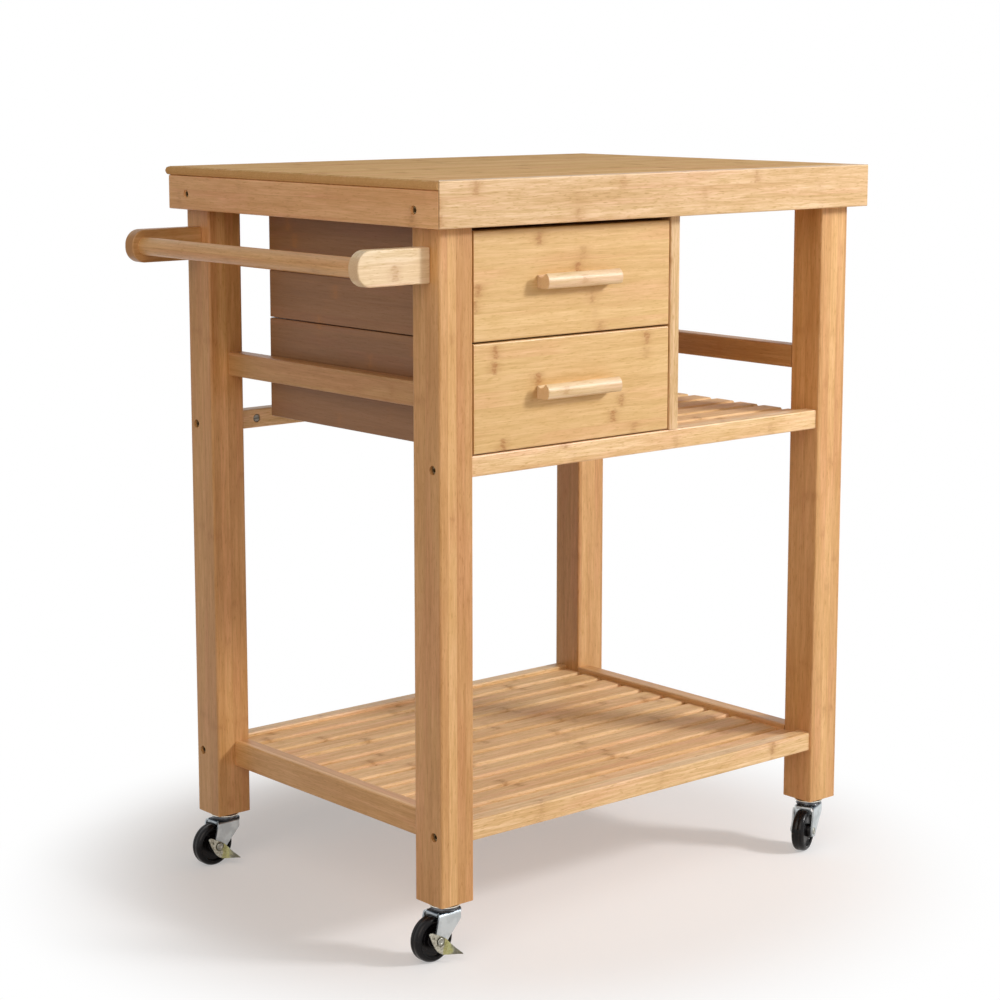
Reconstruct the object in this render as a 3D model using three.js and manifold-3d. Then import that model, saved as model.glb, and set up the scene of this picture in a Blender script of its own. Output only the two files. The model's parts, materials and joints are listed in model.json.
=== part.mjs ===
// A bamboo kitchen trolley on four swivel casters: a boxed worktop on four legs, two
// drawers beside an open bay, two slatted shelves and a towel bar on the left-hand side.
//
// Millimetres, +Z up, +X to the right along the drawer fronts, +Y to the back.
// The origin is on the floor, under the middle of the whole trolley, towel bar included.

import * as THREE from 'three';
import { mergeVertices } from 'three/addons/utils/BufferGeometryUtils.js';
import Module from 'manifold-3d';

const wasm = await Module();
wasm.setup();

// ---------------------------------------------------------------- driving dimensions

// Room left between pieces that meet inside a bore, a groove or a running joint.
const FIT_GAP = 0.3;

// Legs. Heights of the woodwork are measured up from the feet of the legs.
const LEG_SIZE = 44;
const LEG_HEIGHT = 750;
const LEG_SPAN_X = 614;
const LEG_SPAN_Y = 457;
const LEG_ROUNDING = 2;

// Boxed worktop: a thin panel over two side aprons and a rear fascia. The front fascia is as
// high as all of it. The four boards are mitred at the corners.
const PANEL_THICKNESS = 10;
const PANEL_NOSE = 4;
const PANEL_OVERHANG = 1;
const PANEL_REAR_OVERHANG = 4;
const APRON_HEIGHT = 38;
const APRON_THICKNESS = 15;
const FASCIA_THICKNESS = 18;
const REAR_FASCIA_THICKNESS = 14;
const CORNER_FLAT = 1.5;
const EDGE_ROUNDING = 1.5;

// Rails between the legs.
const RAIL_HEIGHT = 22;
const RAIL_THICKNESS = 18;
const RAIL_SETBACK = 3;
const MID_RAIL_TOP = 475.5;
const BOTTOM_RAIL_TOP = 86;
const SIDE_RAIL_THICKNESS = 20;
const SIDE_RAIL_HEIGHT = 30;
const SIDE_RAIL_RISE = 1.5;
const GUARD_RAIL_HEIGHT = 27;
const GUARD_RAIL_RISE = 73;

// Slatted shelves: slats along X, let into two battens that run between the rails.
const SLAT_WIDTH = 31;
const SLAT_GAP = 8;
const SLAT_THICKNESS = 9;
const SLAT_ROUNDING = 2;
const SLAT_MARGIN = 12;
const SLAT_LET_IN = 0.5;
const BATTEN_WIDTH = 18;
const BATTEN_HEIGHT = 9;
const BATTEN_INSET = 70;
const BOTTOM_SHELF_DROP = 4.5;
const MID_SHELF_DROP = 3;

// Upright divider between the drawers and the open bay.
const DIVIDER_THICKNESS = 14;
const DIVIDER_SETBACK = 2;
const DRAWER_BAY_WIDTH = 284;

// Drawers, hung on runners that fit in grooves in their sides.
const DRAWER_SIDE_GAP = 3;
const DRAWER_FLOOR_GAP = 1.5;
const DRAWER_SPACING = 2;
const DRAWER_TOP_GAP = 5;
const DRAWER_FRONT_THICKNESS = 15;
const DRAWER_LENGTH = 359.5;
const DRAWER_SIDE_THICKNESS = 12;
const DRAWER_SIDE_LIFT = 1.5;
const DRAWER_BACK_DROP = 6;
const DRAWER_BOTTOM_THICKNESS = 4;
const DRAWER_BOTTOM_LIFT = 9;
const BOTTOM_GROOVE_DEPTH = 4.5;
const RUNNER_HEIGHT = 10;
const RUNNER_THICKNESS = 7;
const RUNNER_END_GAP = 1.5;
const RUNNER_ROUNDING = 1;

// Bar pulls, each with a finger scoop along its top.
const PULL_LENGTH = 106;
const PULL_REACH = 19;
const PULL_HEIGHT = 16.5;
const PULL_RISE = 2;
const PULL_NOSE_START = 13.6;
const PULL_NOSE_RISE = 7;
const PULL_LIP_RISE = 15.8;
const PULL_LIP_DROP = 3;
const PULL_SCOOP_REACH = 6.8;
const PULL_SCOOP_RISE = 9;
const PULL_ROOT = 1.6;

// Towel bar: a dowel between two arms on the outside of the left-hand legs.
const ARM_LENGTH = 92;
const ARM_HEIGHT = 37;
const ARM_THICKNESS = 16;
const ARM_DROP = 76;
const ARM_END_RADIUS = 17;
const DOWEL_DIAMETER = 20;
const DOWEL_REACH = 75;
const DOWEL_SOCKET = 8;

// Holes for knock-down fittings.
const BOLT_HOLE = 6.5;
const COUNTERBORE = 10;
const COUNTERBORE_DEPTH = 6;
const BOLT_GRIP = 42;
const BARREL_NUT = 10;
const BARREL_NUT_DEPTH = 13;
const BARREL_NUT_INSET = 34;
const APRON_BOLT_HEIGHT = 17.5;
const APRON_PILOT = 5;
const APRON_PILOT_DEPTH = 25;

// Casters. Heights here are measured up from the floor.
const CASTER_HEIGHT = 63;
const WHEEL_DIAMETER = 50;
const WHEEL_TREAD = 18;
const WHEEL_SHOULDER = 4.5;
const WHEEL_HUB_WIDTH = 22;
const WHEEL_HUB_RADIUS = 7.5;
const WHEEL_DISH = 3;
const WHEEL_RIM = 6;
const TRAIL = 19;
const AXLE_DIAMETER = 6;
const AXLE_HEAD_DIAMETER = 10;
const AXLE_HEAD_HEIGHT = 2.2;
const HUB_PLAY = 0.4;
const FORK_SHEET = 2;
const FORK_BEND = 3.5;
const FORK_TOP = 57;
const FORK_FOOT_RADIUS = 8;
const FORK_HEEL = 14.5;
const FORK_HEEL_DEPTH = 9;
const FORK_HEEL_CORNER = 8;
const FORK_LIP = 6;
const STEM_DIAMETER = 8;
const STEM_LENGTH = 30;
const RACE_DIAMETER = 35;
const RACE_SHEET = 1.6;
const RACE_RIM = 3.8;
const DOME_DIAMETER = 28;
const DOME_SHEET = 2;
const KINGPIN_DIAMETER = 7;
const RIVET_DIAMETER = 12;
const RIVET_HEIGHT = 2;
const CHAMFER = 1;

// Side brake lever of the left-hand casters: a leaf of sheet with a foot tab bent outwards.
const LEVER_SHEET = 1.5;
const LEVER_BEND = 3;
const LEVER_TAB_ANGLE = 45;
const LEVER_TAB_LENGTH = 19;
const LEVER_FOLD = 10;
const LEVER_TIP_REACH = 17;
const LEVER_TIP_RISE = 15;
const LEVER_FOLD_RISE = 4;
const LEVER_DROP = 13;
const LEVER_BROW_RISE = 9.8;
const LEVER_HEEL_REACH = 10;
const LEVER_CORNER = 2;
const LEVER_HEEL_WIDTH = 1;
const LEVER_REST_TURN = 8;

// Which way each caster trails, counted anticlockwise from +X seen from above.
const CASTERS = [
  { name: 'front_left', side: -1, end: -1, trails: 182, brake: true },
  { name: 'rear_left', side: -1, end: 1, trails: 182, brake: true },
  { name: 'front_right', side: 1, end: -1, trails: 204, brake: false },
  { name: 'rear_right', side: 1, end: 1, trails: 196, brake: false },
];

// Facets around small bores and turned parts, and divisions of the small and the larger
// curves. A quarter round gets twice as many facets as a curve's divisions.
const BORE_FACETS = 12;
const TURNED_FACETS = 16;
const WHEEL_FACETS = 26;
const CORNER_DIVISIONS = 1;
const CURVE_DIVISIONS = 4;

// ---------------------------------------------------------------- derived dimensions

const legX = (LEG_SPAN_X - LEG_SIZE) / 2;
const legY = (LEG_SPAN_Y - LEG_SIZE) / 2;
const legOuterX = LEG_SPAN_X / 2;
const legOuterY = LEG_SPAN_Y / 2;
const legInnerX = legOuterX - LEG_SIZE;
const legInnerY = legOuterY - LEG_SIZE;

const panelLength = LEG_SPAN_X + 2 * (APRON_THICKNESS + PANEL_OVERHANG);
const topHeight = LEG_HEIGHT + PANEL_THICKNESS;
const frontEdge = legOuterY + FASCIA_THICKNESS;
const rearEdge = legOuterY + REAR_FASCIA_THICKNESS;
const sideEdge = legOuterX + APRON_THICKNESS;
const apronBottom = LEG_HEIGHT - APRON_HEIGHT;

const railOuterY = legOuterY - RAIL_SETBACK;
const railInnerY = railOuterY - RAIL_THICKNESS;
const railY = (railOuterY + railInnerY) / 2;
const midRailCentre = MID_RAIL_TOP - RAIL_HEIGHT / 2;
const sideRailTop = BOTTOM_RAIL_TOP + SIDE_RAIL_RISE;
const guardRailTop = MID_RAIL_TOP + GUARD_RAIL_RISE;
const armCentre = LEG_HEIGHT - ARM_DROP;
const bottomRailCentre = BOTTOM_RAIL_TOP - RAIL_HEIGHT / 2;

const dividerLeft = -legInnerX + DRAWER_BAY_WIDTH;
const dividerRight = dividerLeft + DIVIDER_THICKNESS;
const dividerDepth = LEG_SPAN_Y - 2 * DIVIDER_SETBACK;

const drawerWidth = DRAWER_BAY_WIDTH - 2 * DRAWER_SIDE_GAP;
const drawerX = (dividerLeft - legInnerX) / 2;
const drawerFace = -legOuterY + DIVIDER_SETBACK;
const drawerBayHeight = apronBottom - MID_RAIL_TOP - DRAWER_FLOOR_GAP - DRAWER_TOP_GAP;
const drawerFrontHeight = (drawerBayHeight - DRAWER_SPACING) / 2;
const drawerSideHeight = drawerFrontHeight - DRAWER_SIDE_LIFT;
const drawerSideLength = DRAWER_LENGTH - DRAWER_FRONT_THICKNESS;
const grooveHeight = RUNNER_HEIGHT + 2 * FIT_GAP;
const grooveDepth = RUNNER_THICKNESS - DRAWER_SIDE_GAP + 2 * FIT_GAP;

const axleHeight = WHEEL_DIAMETER / 2;
const axleRadius = AXLE_DIAMETER / 2;
const forkInner = WHEEL_HUB_WIDTH / 2 + HUB_PLAY;
const forkOuter = forkInner + FORK_SHEET;
const leverInner = forkOuter + FIT_GAP;
const leverOuter = leverInner + LEVER_SHEET;

const SIDES = [['left', -1], ['right', 1]];
const ENDS = [['front', -1], ['rear', 1]];

// ---------------------------------------------------------------- materials

const bamboo = new THREE.MeshStandardMaterial({ color: 0xdfb57e, roughness: 0.5, metalness: 0 });
const bambooPale = new THREE.MeshStandardMaterial({ color: 0xe6c393, roughness: 0.5, metalness: 0 });
const bambooShade = new THREE.MeshStandardMaterial({ color: 0xcf9f67, roughness: 0.6, metalness: 0 });
const zinc = new THREE.MeshStandardMaterial({ color: 0xc3c8ca, roughness: 0.3, metalness: 0.9 });
const steel = new THREE.MeshStandardMaterial({ color: 0x9fa3a3, roughness: 0.35, metalness: 0.9 });
const passivated = new THREE.MeshStandardMaterial({ color: 0xbdb894, roughness: 0.35, metalness: 0.8 });
const blackPlastic = new THREE.MeshStandardMaterial({ color: 0x1b191b, roughness: 0.45, metalness: 0 });

// ---------------------------------------------------------------- shaping helpers

const AXIS_X = new THREE.Vector3(1, 0, 0);
const AXIS_Y = new THREE.Vector3(0, 1, 0);
const AXIS_Z = new THREE.Vector3(0, 0, 1);

// Turns a shape extruded along Z so that it runs along X, with its plan in the YZ plane.
const ALONG_X = new THREE.Matrix4().makeBasis(AXIS_Y, AXIS_Z, AXIS_X);

// Turns it so that it runs along -Y instead, with its plan in the XZ plane.
const ALONG_Y = new THREE.Matrix4().makeBasis(AXIS_X, AXIS_Z, AXIS_Y.clone().negate());

function toSolid(geometry) {
  geometry.deleteAttribute('normal');
  geometry.deleteAttribute('uv');
  const merged = mergeVertices(geometry);
  return new wasm.Manifold(new wasm.Mesh({
    numProp: 3,
    vertProperties: merged.attributes.position.array,
    triVerts: merged.index.array,
  }));
}

function toGeometry(solid) {
  const mesh = solid.getMesh();
  const geometry = new THREE.BufferGeometry();
  geometry.setAttribute('position', new THREE.BufferAttribute(mesh.vertProperties, 3));
  geometry.setIndex(new THREE.BufferAttribute(mesh.triVerts, 1));
  geometry.computeVertexNormals();
  return geometry;
}

// Takes the cuts away from a geometry, or joins the additions to it.
function cut(geometry, cuts) {
  return toGeometry(cuts.reduce((solid, tool) => solid.subtract(toSolid(tool)), toSolid(geometry)));
}

function join(geometry, additions) {
  return toGeometry(additions.reduce((solid, other) => solid.add(toSolid(other)), toSolid(geometry)));
}

function common(geometry, others) {
  return toGeometry(others.reduce((solid, other) => solid.intersect(toSolid(other)), toSolid(geometry)));
}

function roundedRectangle(width, height, radius) {
  const x = width / 2;
  const y = height / 2;
  const shape = new THREE.Shape();
  shape.absarc(x - radius, y - radius, radius, 0, Math.PI / 2, false);
  shape.absarc(-x + radius, y - radius, radius, Math.PI / 2, Math.PI, false);
  shape.absarc(-x + radius, -y + radius, radius, Math.PI, 1.5 * Math.PI, false);
  shape.absarc(x - radius, -y + radius, radius, 1.5 * Math.PI, 2 * Math.PI, false);
  return shape;
}

// A prism of the shape, centred along its own length.
function prism(shape, length, curveSegments = CORNER_DIVISIONS) {
  const geometry = new THREE.ExtrudeGeometry(shape, { depth: length, bevelEnabled: false, curveSegments });
  return geometry.translate(0, 0, -length / 2);
}

// Boards centred on the origin, with the four edges along their length rounded.
function boardAlongX(length, depth, height, radius = EDGE_ROUNDING) {
  return prism(roundedRectangle(depth, height, radius), length).applyMatrix4(ALONG_X);
}

function boardAlongY(width, length, height, radius = EDGE_ROUNDING) {
  return prism(roundedRectangle(width, height, radius), length).applyMatrix4(ALONG_Y);
}

function boardAlongZ(width, depth, length, radius = EDGE_ROUNDING) {
  return prism(roundedRectangle(width, depth, radius), length);
}

// Plain cutters: a block, and round tools along each axis, all centred where they are put.
function block(width, depth, height, x = 0, y = 0, z = 0) {
  return new THREE.BoxGeometry(width, depth, height).translate(x, y, z);
}

function rodAlongX(diameter, length, x = 0, y = 0, z = 0) {
  return rodAlongY(diameter, length).rotateZ(Math.PI / 2).translate(x, y, z);
}

function rodAlongY(diameter, length, x = 0, y = 0, z = 0, facets = BORE_FACETS) {
  return new THREE.CylinderGeometry(diameter / 2, diameter / 2, length, facets).translate(x, y, z);
}

function rodAlongZ(diameter, length, x = 0, y = 0, z = 0) {
  return rodAlongY(diameter, length).rotateX(Math.PI / 2).translate(x, y, z);
}

// A body of revolution about Z from [radius, height] pairs that run upwards on its outside.
function turned(profile, facets = TURNED_FACETS) {
  const points = profile.map(([radius, height]) => new THREE.Vector2(radius, height));
  return new THREE.LatheGeometry(points, facets).rotateX(Math.PI / 2);
}

// The outline of a bent strip of sheet, half its thickness to each side of a centreline.
function stripShape(centreline, thickness) {
  const points = centreline.getPoints(2 * CORNER_DIVISIONS);
  const left = [];
  const right = [];
  points.forEach((point, i) => {
    const before = points[Math.max(i - 1, 0)];
    const after = points[Math.min(i + 1, points.length - 1)];
    const along = after.clone().sub(before).normalize();
    const across = new THREE.Vector2(-along.y, along.x).multiplyScalar(thickness / 2);
    left.push(point.clone().add(across));
    right.push(point.clone().sub(across));
  });
  return new THREE.Shape([...left, ...right.reverse()]);
}

function place(parent, name, geometry, material, x = 0, y = 0, z = 0) {
  const mesh = new THREE.Mesh(geometry, material);
  mesh.name = name;
  mesh.position.set(x, y, z);
  parent.add(mesh);
}

// ---------------------------------------------------------------- legs

// Each leg has counterbored holes for the rail bolts and a pilot for the apron bolt in its
// outer side, and a bore in its foot for the caster stem.
function leg(side, end) {
  const outer = side * LEG_SIZE / 2;
  const boltY = end * (railY - legY);
  const cuts = [];
  for (const railCentre of [bottomRailCentre, midRailCentre]) {
    const boltZ = railCentre - LEG_HEIGHT / 2;
    cuts.push(rodAlongX(BOLT_HOLE, 2 * LEG_SIZE, 0, boltY, boltZ));
    cuts.push(rodAlongX(COUNTERBORE, 2 * COUNTERBORE_DEPTH, outer, boltY, boltZ));
  }
  const pilotZ = apronBottom + APRON_BOLT_HEIGHT - LEG_HEIGHT / 2;
  cuts.push(rodAlongX(APRON_PILOT, 2 * APRON_PILOT_DEPTH, outer, 0, pilotZ));
  const stemBore = STEM_DIAMETER + 2 * FIT_GAP;
  cuts.push(rodAlongZ(stemBore, 2 * (STEM_LENGTH + FIT_GAP), 0, 0, -LEG_HEIGHT / 2));
  return cut(boardAlongZ(LEG_SIZE, LEG_SIZE, LEG_HEIGHT, LEG_ROUNDING), cuts);
}

function addLegs(body) {
  for (const [endName, end] of ENDS) {
    for (const [sideName, side] of SIDES) {
      const name = `leg_${endName}_${sideName}`;
      place(body, name, leg(side, end), bamboo, side * legX, end * legY, LEG_HEIGHT / 2);
    }
  }
}

// ---------------------------------------------------------------- boxed worktop

// The plan of the front or rear fascia with its mitred ends, as a tall block that runs out
// past the fascia's outer face.
function mitredBlock(end, gap = 0) {
  const depth = 2 * (end < 0 ? FASCIA_THICKNESS : REAR_FASCIA_THICKNESS);
  const inner = legOuterX + gap;
  const outer = inner + 2 * APRON_THICKNESS;
  const plan = new THREE.Shape();
  plan.moveTo(-inner, 0);
  plan.lineTo(inner, 0);
  plan.lineTo(outer, end * depth);
  plan.lineTo(-outer, end * depth);
  return prism(plan, 4 * (APRON_HEIGHT + PANEL_THICKNESS)).translate(0, end * legOuterY, 0);
}

// Takes the sharp edge off the worktop's corners in plan.
function cornerCut(side, end) {
  const size = 2 * APRON_THICKNESS;
  const inset = CORNER_FLAT / 2 - size * Math.SQRT1_2 / 2;
  const edgeY = end < 0 ? frontEdge : rearEdge;
  const tool = block(size, size, 4 * (APRON_HEIGHT + PANEL_THICKNESS)).rotateZ(Math.PI / 4);
  return tool.translate(side * (sideEdge - inset), end * (edgeY - inset), 0);
}

function fascia(end) {
  const depth = end < 0 ? FASCIA_THICKNESS : REAR_FASCIA_THICKNESS;
  const height = end < 0 ? APRON_HEIGHT + PANEL_THICKNESS : APRON_HEIGHT;
  const board = boardAlongX(2 * sideEdge, depth, height);
  const mitred = common(board.translate(0, end * (legOuterY + depth / 2), 0), [mitredBlock(end)]);
  return cut(mitred, SIDES.map(([, side]) => cornerCut(side, end)));
}

// A side apron with a countersunk hole for each of its bolts.
function sideApron(side) {
  const boltZ = APRON_BOLT_HEIGHT - APRON_HEIGHT / 2;
  const apronX = side * (legOuterX + APRON_THICKNESS / 2);
  const cuts = [];
  for (const [, end] of ENDS) {
    const boltY = end * legY;
    cuts.push(rodAlongX(BOLT_HOLE, 2 * APRON_THICKNESS, apronX, boltY, boltZ));
    const sink = new THREE.CylinderGeometry(COUNTERBORE / 2, BOLT_HOLE / 2, COUNTERBORE / 2, BORE_FACETS);
    sink.rotateZ(-side * Math.PI / 2);
    const sinkX = side * (sideEdge - COUNTERBORE / 4 + FIT_GAP);
    cuts.push(sink.translate(sinkX, boltY, boltZ), mitredBlock(end, FIT_GAP), cornerCut(side, end));
  }
  const board = boardAlongY(APRON_THICKNESS, frontEdge + rearEdge, APRON_HEIGHT);
  return cut(board.translate(apronX, (rearEdge - frontEdge) / 2, 0), cuts);
}

// The panel lies on the aprons and the rear fascia, and butts against the front fascia.
function topPanel() {
  const depth = frontEdge + rearEdge + PANEL_REAR_OVERHANG;
  const middle = depth / 2 - frontEdge;
  const board = boardAlongY(panelLength, depth, PANEL_THICKNESS, PANEL_NOSE).translate(0, middle, 0);
  const rearNose = boardAlongX(2 * panelLength, 2 * depth, PANEL_THICKNESS, PANEL_NOSE);
  const nosed = common(board, [rearNose.translate(0, middle - depth / 2, 0)]);
  return cut(nosed, [mitredBlock(-1, FIT_GAP), ...SIDES.map(([, side]) => cornerCut(side, -1))]);
}

function addWorktop(body) {
  const apronZ = LEG_HEIGHT - APRON_HEIGHT / 2;
  place(body, 'top_panel', topPanel(), bambooPale, 0, 0, LEG_HEIGHT + PANEL_THICKNESS / 2);
  place(body, 'fascia_front', fascia(-1), bamboo, 0, 0, (apronBottom + topHeight) / 2);
  place(body, 'fascia_rear', fascia(1), bamboo, 0, 0, apronZ);
  for (const [sideName, side] of SIDES) {
    place(body, `apron_${sideName}`, sideApron(side), bamboo, 0, 0, apronZ);
  }
}

// ---------------------------------------------------------------- rails

// A front or rear rail, with a bolt bore in each end and a barrel nut hole across it, which
// opens on the rail's inner side.
function longRail(end) {
  const halfLength = legInnerX;
  const cuts = [];
  for (const [, side] of SIDES) {
    cuts.push(rodAlongX(BOLT_HOLE, 2 * BOLT_GRIP, side * halfLength));
    const nutX = side * (halfLength - BARREL_NUT_INSET);
    cuts.push(rodAlongY(BARREL_NUT, 2 * BARREL_NUT_DEPTH, nutX, -end * RAIL_THICKNESS / 2, 0));
  }
  return cut(boardAlongX(2 * halfLength, RAIL_THICKNESS, RAIL_HEIGHT), cuts);
}

function addRails(body) {
  for (const [endName, end] of ENDS) {
    place(body, `mid_rail_${endName}`, longRail(end), bamboo, 0, end * railY, midRailCentre);
    place(body, `bottom_rail_${endName}`, longRail(end), bamboo, 0, end * railY, bottomRailCentre);
  }
  const length = 2 * legInnerY;
  for (const [sideName, side] of SIDES) {
    const railX = side * (legInnerX + SIDE_RAIL_THICKNESS / 2);
    const low = boardAlongY(SIDE_RAIL_THICKNESS, length, SIDE_RAIL_HEIGHT, LEG_ROUNDING);
    const high = boardAlongY(SIDE_RAIL_THICKNESS, length, GUARD_RAIL_HEIGHT, LEG_ROUNDING);
    place(body, `bottom_rail_${sideName}`, low, bamboo, railX, 0, sideRailTop - SIDE_RAIL_HEIGHT / 2);
    place(body, `guard_rail_${sideName}`, high, bamboo, railX, 0, guardRailTop - GUARD_RAIL_HEIGHT / 2);
  }
}

// ---------------------------------------------------------------- slatted shelves

// As many slats as fit between the rails, with only their upper edges rounded.
function slatSection() {
  const x = SLAT_WIDTH / 2;
  const y = SLAT_THICKNESS;
  const section = new THREE.Shape();
  section.moveTo(-x, 0);
  section.lineTo(x, 0);
  section.absarc(x - SLAT_ROUNDING, y - SLAT_ROUNDING, SLAT_ROUNDING, 0, Math.PI / 2, false);
  section.absarc(-x + SLAT_ROUNDING, y - SLAT_ROUNDING, SLAT_ROUNDING, Math.PI / 2, Math.PI, false);
  return section;
}

// A shelf from x = left to x = right, its origin at the height of the battens' undersides.
function slatPanel(left, right, battenCentres) {
  const pitch = SLAT_WIDTH + SLAT_GAP;
  const room = 2 * (railInnerY - SLAT_MARGIN);
  const count = Math.floor((room + SLAT_GAP) / pitch);
  const slats = [];
  for (let i = 0; i < count; i += 1) {
    const slat = prism(slatSection(), right - left).applyMatrix4(ALONG_X);
    slats.push(slat.translate((left + right) / 2, (i - (count - 1) / 2) * pitch, BATTEN_HEIGHT - SLAT_LET_IN));
  }
  const [first, ...others] = battenCentres.map((x) => (
    block(BATTEN_WIDTH, 2 * railInnerY, BATTEN_HEIGHT, x, 0, BATTEN_HEIGHT / 2)
  ));
  return join(first, [...others, ...slats]);
}

function addShelves(body) {
  const panelHeight = BATTEN_HEIGHT - SLAT_LET_IN + SLAT_THICKNESS;
  const farBatten = legInnerX - BATTEN_INSET - BATTEN_WIDTH / 2;
  const bottom = slatPanel(-legInnerX, legInnerX, [-farBatten, farBatten]);
  const bottomZ = BOTTOM_RAIL_TOP - BOTTOM_SHELF_DROP - panelHeight;
  place(body, 'bottom_slat_panel', bottom, bamboo, 0, 0, bottomZ);
  const middle = slatPanel(dividerRight, legInnerX, [dividerRight + BATTEN_WIDTH / 2, farBatten]);
  place(body, 'mid_slat_panel', middle, bamboo, 0, 0, MID_RAIL_TOP - MID_SHELF_DROP - panelHeight);
}

// ---------------------------------------------------------------- divider

// The divider reaches from the mid shelf to the worktop, notched over the two mid rails.
function addDivider(body) {
  const foot = MID_RAIL_TOP - RAIL_HEIGHT + DIVIDER_SETBACK;
  const height = LEG_HEIGHT - foot;
  const notchHeight = MID_RAIL_TOP - foot;
  const notchDepth = dividerDepth / 2 - railInnerY + FIT_GAP;
  const cuts = ENDS.map(([, end]) => {
    const notchY = end * (dividerDepth / 2 - notchDepth / 2);
    return block(2 * DIVIDER_THICKNESS, notchDepth, 2 * notchHeight, 0, notchY, -height / 2);
  });
  const board = cut(boardAlongZ(DIVIDER_THICKNESS, dividerDepth, height), cuts);
  place(body, 'divider', board, bamboo, (dividerLeft + dividerRight) / 2, 0, foot + height / 2);
}

// ---------------------------------------------------------------- drawers

function pull() {
  const section = new THREE.Shape();
  section.moveTo(0, 0);
  section.lineTo(PULL_NOSE_START, 0);
  section.quadraticCurveTo(PULL_REACH, 0, PULL_REACH, PULL_NOSE_RISE);
  section.quadraticCurveTo(PULL_REACH, PULL_LIP_RISE - PULL_LIP_DROP, PULL_NOSE_START, PULL_LIP_RISE);
  section.quadraticCurveTo(PULL_SCOOP_REACH, PULL_SCOOP_RISE, PULL_ROOT, PULL_HEIGHT);
  section.lineTo(0, PULL_HEIGHT);
  return prism(section, PULL_LENGTH, CURVE_DIVISIONS).applyMatrix4(ALONG_X).rotateZ(Math.PI);
}

// Drawer boards are placed from the middle of the drawer's front face at its lower edge.
function addDrawer(body, name, z) {
  const drawer = new THREE.Group();
  drawer.position.set(drawerX, drawerFace, z);
  body.add(drawer);

  const bottomZ = DRAWER_SIDE_LIFT + DRAWER_BOTTOM_LIFT + DRAWER_BOTTOM_THICKNESS / 2;
  const bottomGroove = DRAWER_BOTTOM_THICKNESS + 2 * FIT_GAP;
  const insideX = drawerWidth / 2 - DRAWER_SIDE_THICKNESS;
  const insideBack = DRAWER_LENGTH - DRAWER_SIDE_THICKNESS;
  const tongue = BOTTOM_GROOVE_DEPTH - FIT_GAP;

  const frontGroove = block(
    2 * (insideX + BOTTOM_GROOVE_DEPTH), 2 * BOTTOM_GROOVE_DEPTH, bottomGroove,
    0, DRAWER_FRONT_THICKNESS / 2, bottomZ - drawerFrontHeight / 2,
  );
  const front = cut(boardAlongX(drawerWidth, DRAWER_FRONT_THICKNESS, drawerFrontHeight), [frontGroove]);
  place(drawer, `${name}_front`, front, bambooPale, 0, DRAWER_FRONT_THICKNESS / 2, drawerFrontHeight / 2);

  const sideZ = DRAWER_SIDE_LIFT + drawerSideHeight / 2;
  const sideY = DRAWER_FRONT_THICKNESS + drawerSideLength / 2;
  for (const [sideName, side] of SIDES) {
    const outer = side * DRAWER_SIDE_THICKNESS / 2;
    const cuts = [
      block(2 * grooveDepth, 2 * DRAWER_LENGTH, grooveHeight, outer, 0, 0),
      block(2 * BOTTOM_GROOVE_DEPTH, 2 * DRAWER_LENGTH, bottomGroove, -outer, 0, bottomZ - sideZ),
    ];
    const board = cut(boardAlongY(DRAWER_SIDE_THICKNESS, drawerSideLength, drawerSideHeight), cuts);
    const sideX = side * (drawerWidth - DRAWER_SIDE_THICKNESS) / 2;
    place(drawer, `${name}_side_${sideName}`, board, bambooShade, sideX, sideY, sideZ);
  }

  const backHeight = drawerSideHeight - DRAWER_BACK_DROP;
  const backZ = DRAWER_SIDE_LIFT + backHeight / 2;
  const backGroove = block(
    4 * insideX, 2 * BOTTOM_GROOVE_DEPTH, bottomGroove,
    0, -DRAWER_SIDE_THICKNESS / 2, bottomZ - backZ,
  );
  const back = cut(boardAlongX(2 * insideX, DRAWER_SIDE_THICKNESS, backHeight), [backGroove]);
  place(drawer, `${name}_back`, back, bambooShade, 0, insideBack + DRAWER_SIDE_THICKNESS / 2, backZ);

  const bottomStart = DRAWER_FRONT_THICKNESS - tongue;
  const bottomLength = insideBack + tongue - bottomStart;
  const bottom = block(2 * (insideX + tongue), bottomLength, DRAWER_BOTTOM_THICKNESS);
  place(drawer, `${name}_bottom`, bottom, bambooPale, 0, bottomStart + bottomLength / 2, bottomZ);

  const pullZ = (drawerFrontHeight - PULL_HEIGHT) / 2 + PULL_RISE;
  place(drawer, `${name}_pull`, pull(), bambooPale, 0, 0, pullZ);

  // The runners stay with the frame: on the two left-hand legs, and on the divider.
  const runnerStart = DRAWER_FRONT_THICKNESS + RUNNER_END_GAP;
  const runnerLength = dividerDepth - runnerStart;
  const runnerY = drawerFace + runnerStart + runnerLength / 2;
  for (const [sideName, side] of SIDES) {
    const runner = boardAlongY(RUNNER_THICKNESS, runnerLength, RUNNER_HEIGHT, RUNNER_ROUNDING);
    const runnerX = drawerX + side * (DRAWER_BAY_WIDTH - RUNNER_THICKNESS) / 2;
    place(body, `${name.replace('drawer', 'runner')}_${sideName}`, runner, bamboo, runnerX, runnerY, z + sideZ);
  }
}

function addDrawers(body) {
  const lowerZ = MID_RAIL_TOP + DRAWER_FLOOR_GAP;
  addDrawer(body, 'drawer_lower', lowerZ);
  addDrawer(body, 'drawer_upper', lowerZ + drawerFrontHeight + DRAWER_SPACING);
}

// ---------------------------------------------------------------- towel bar

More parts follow.
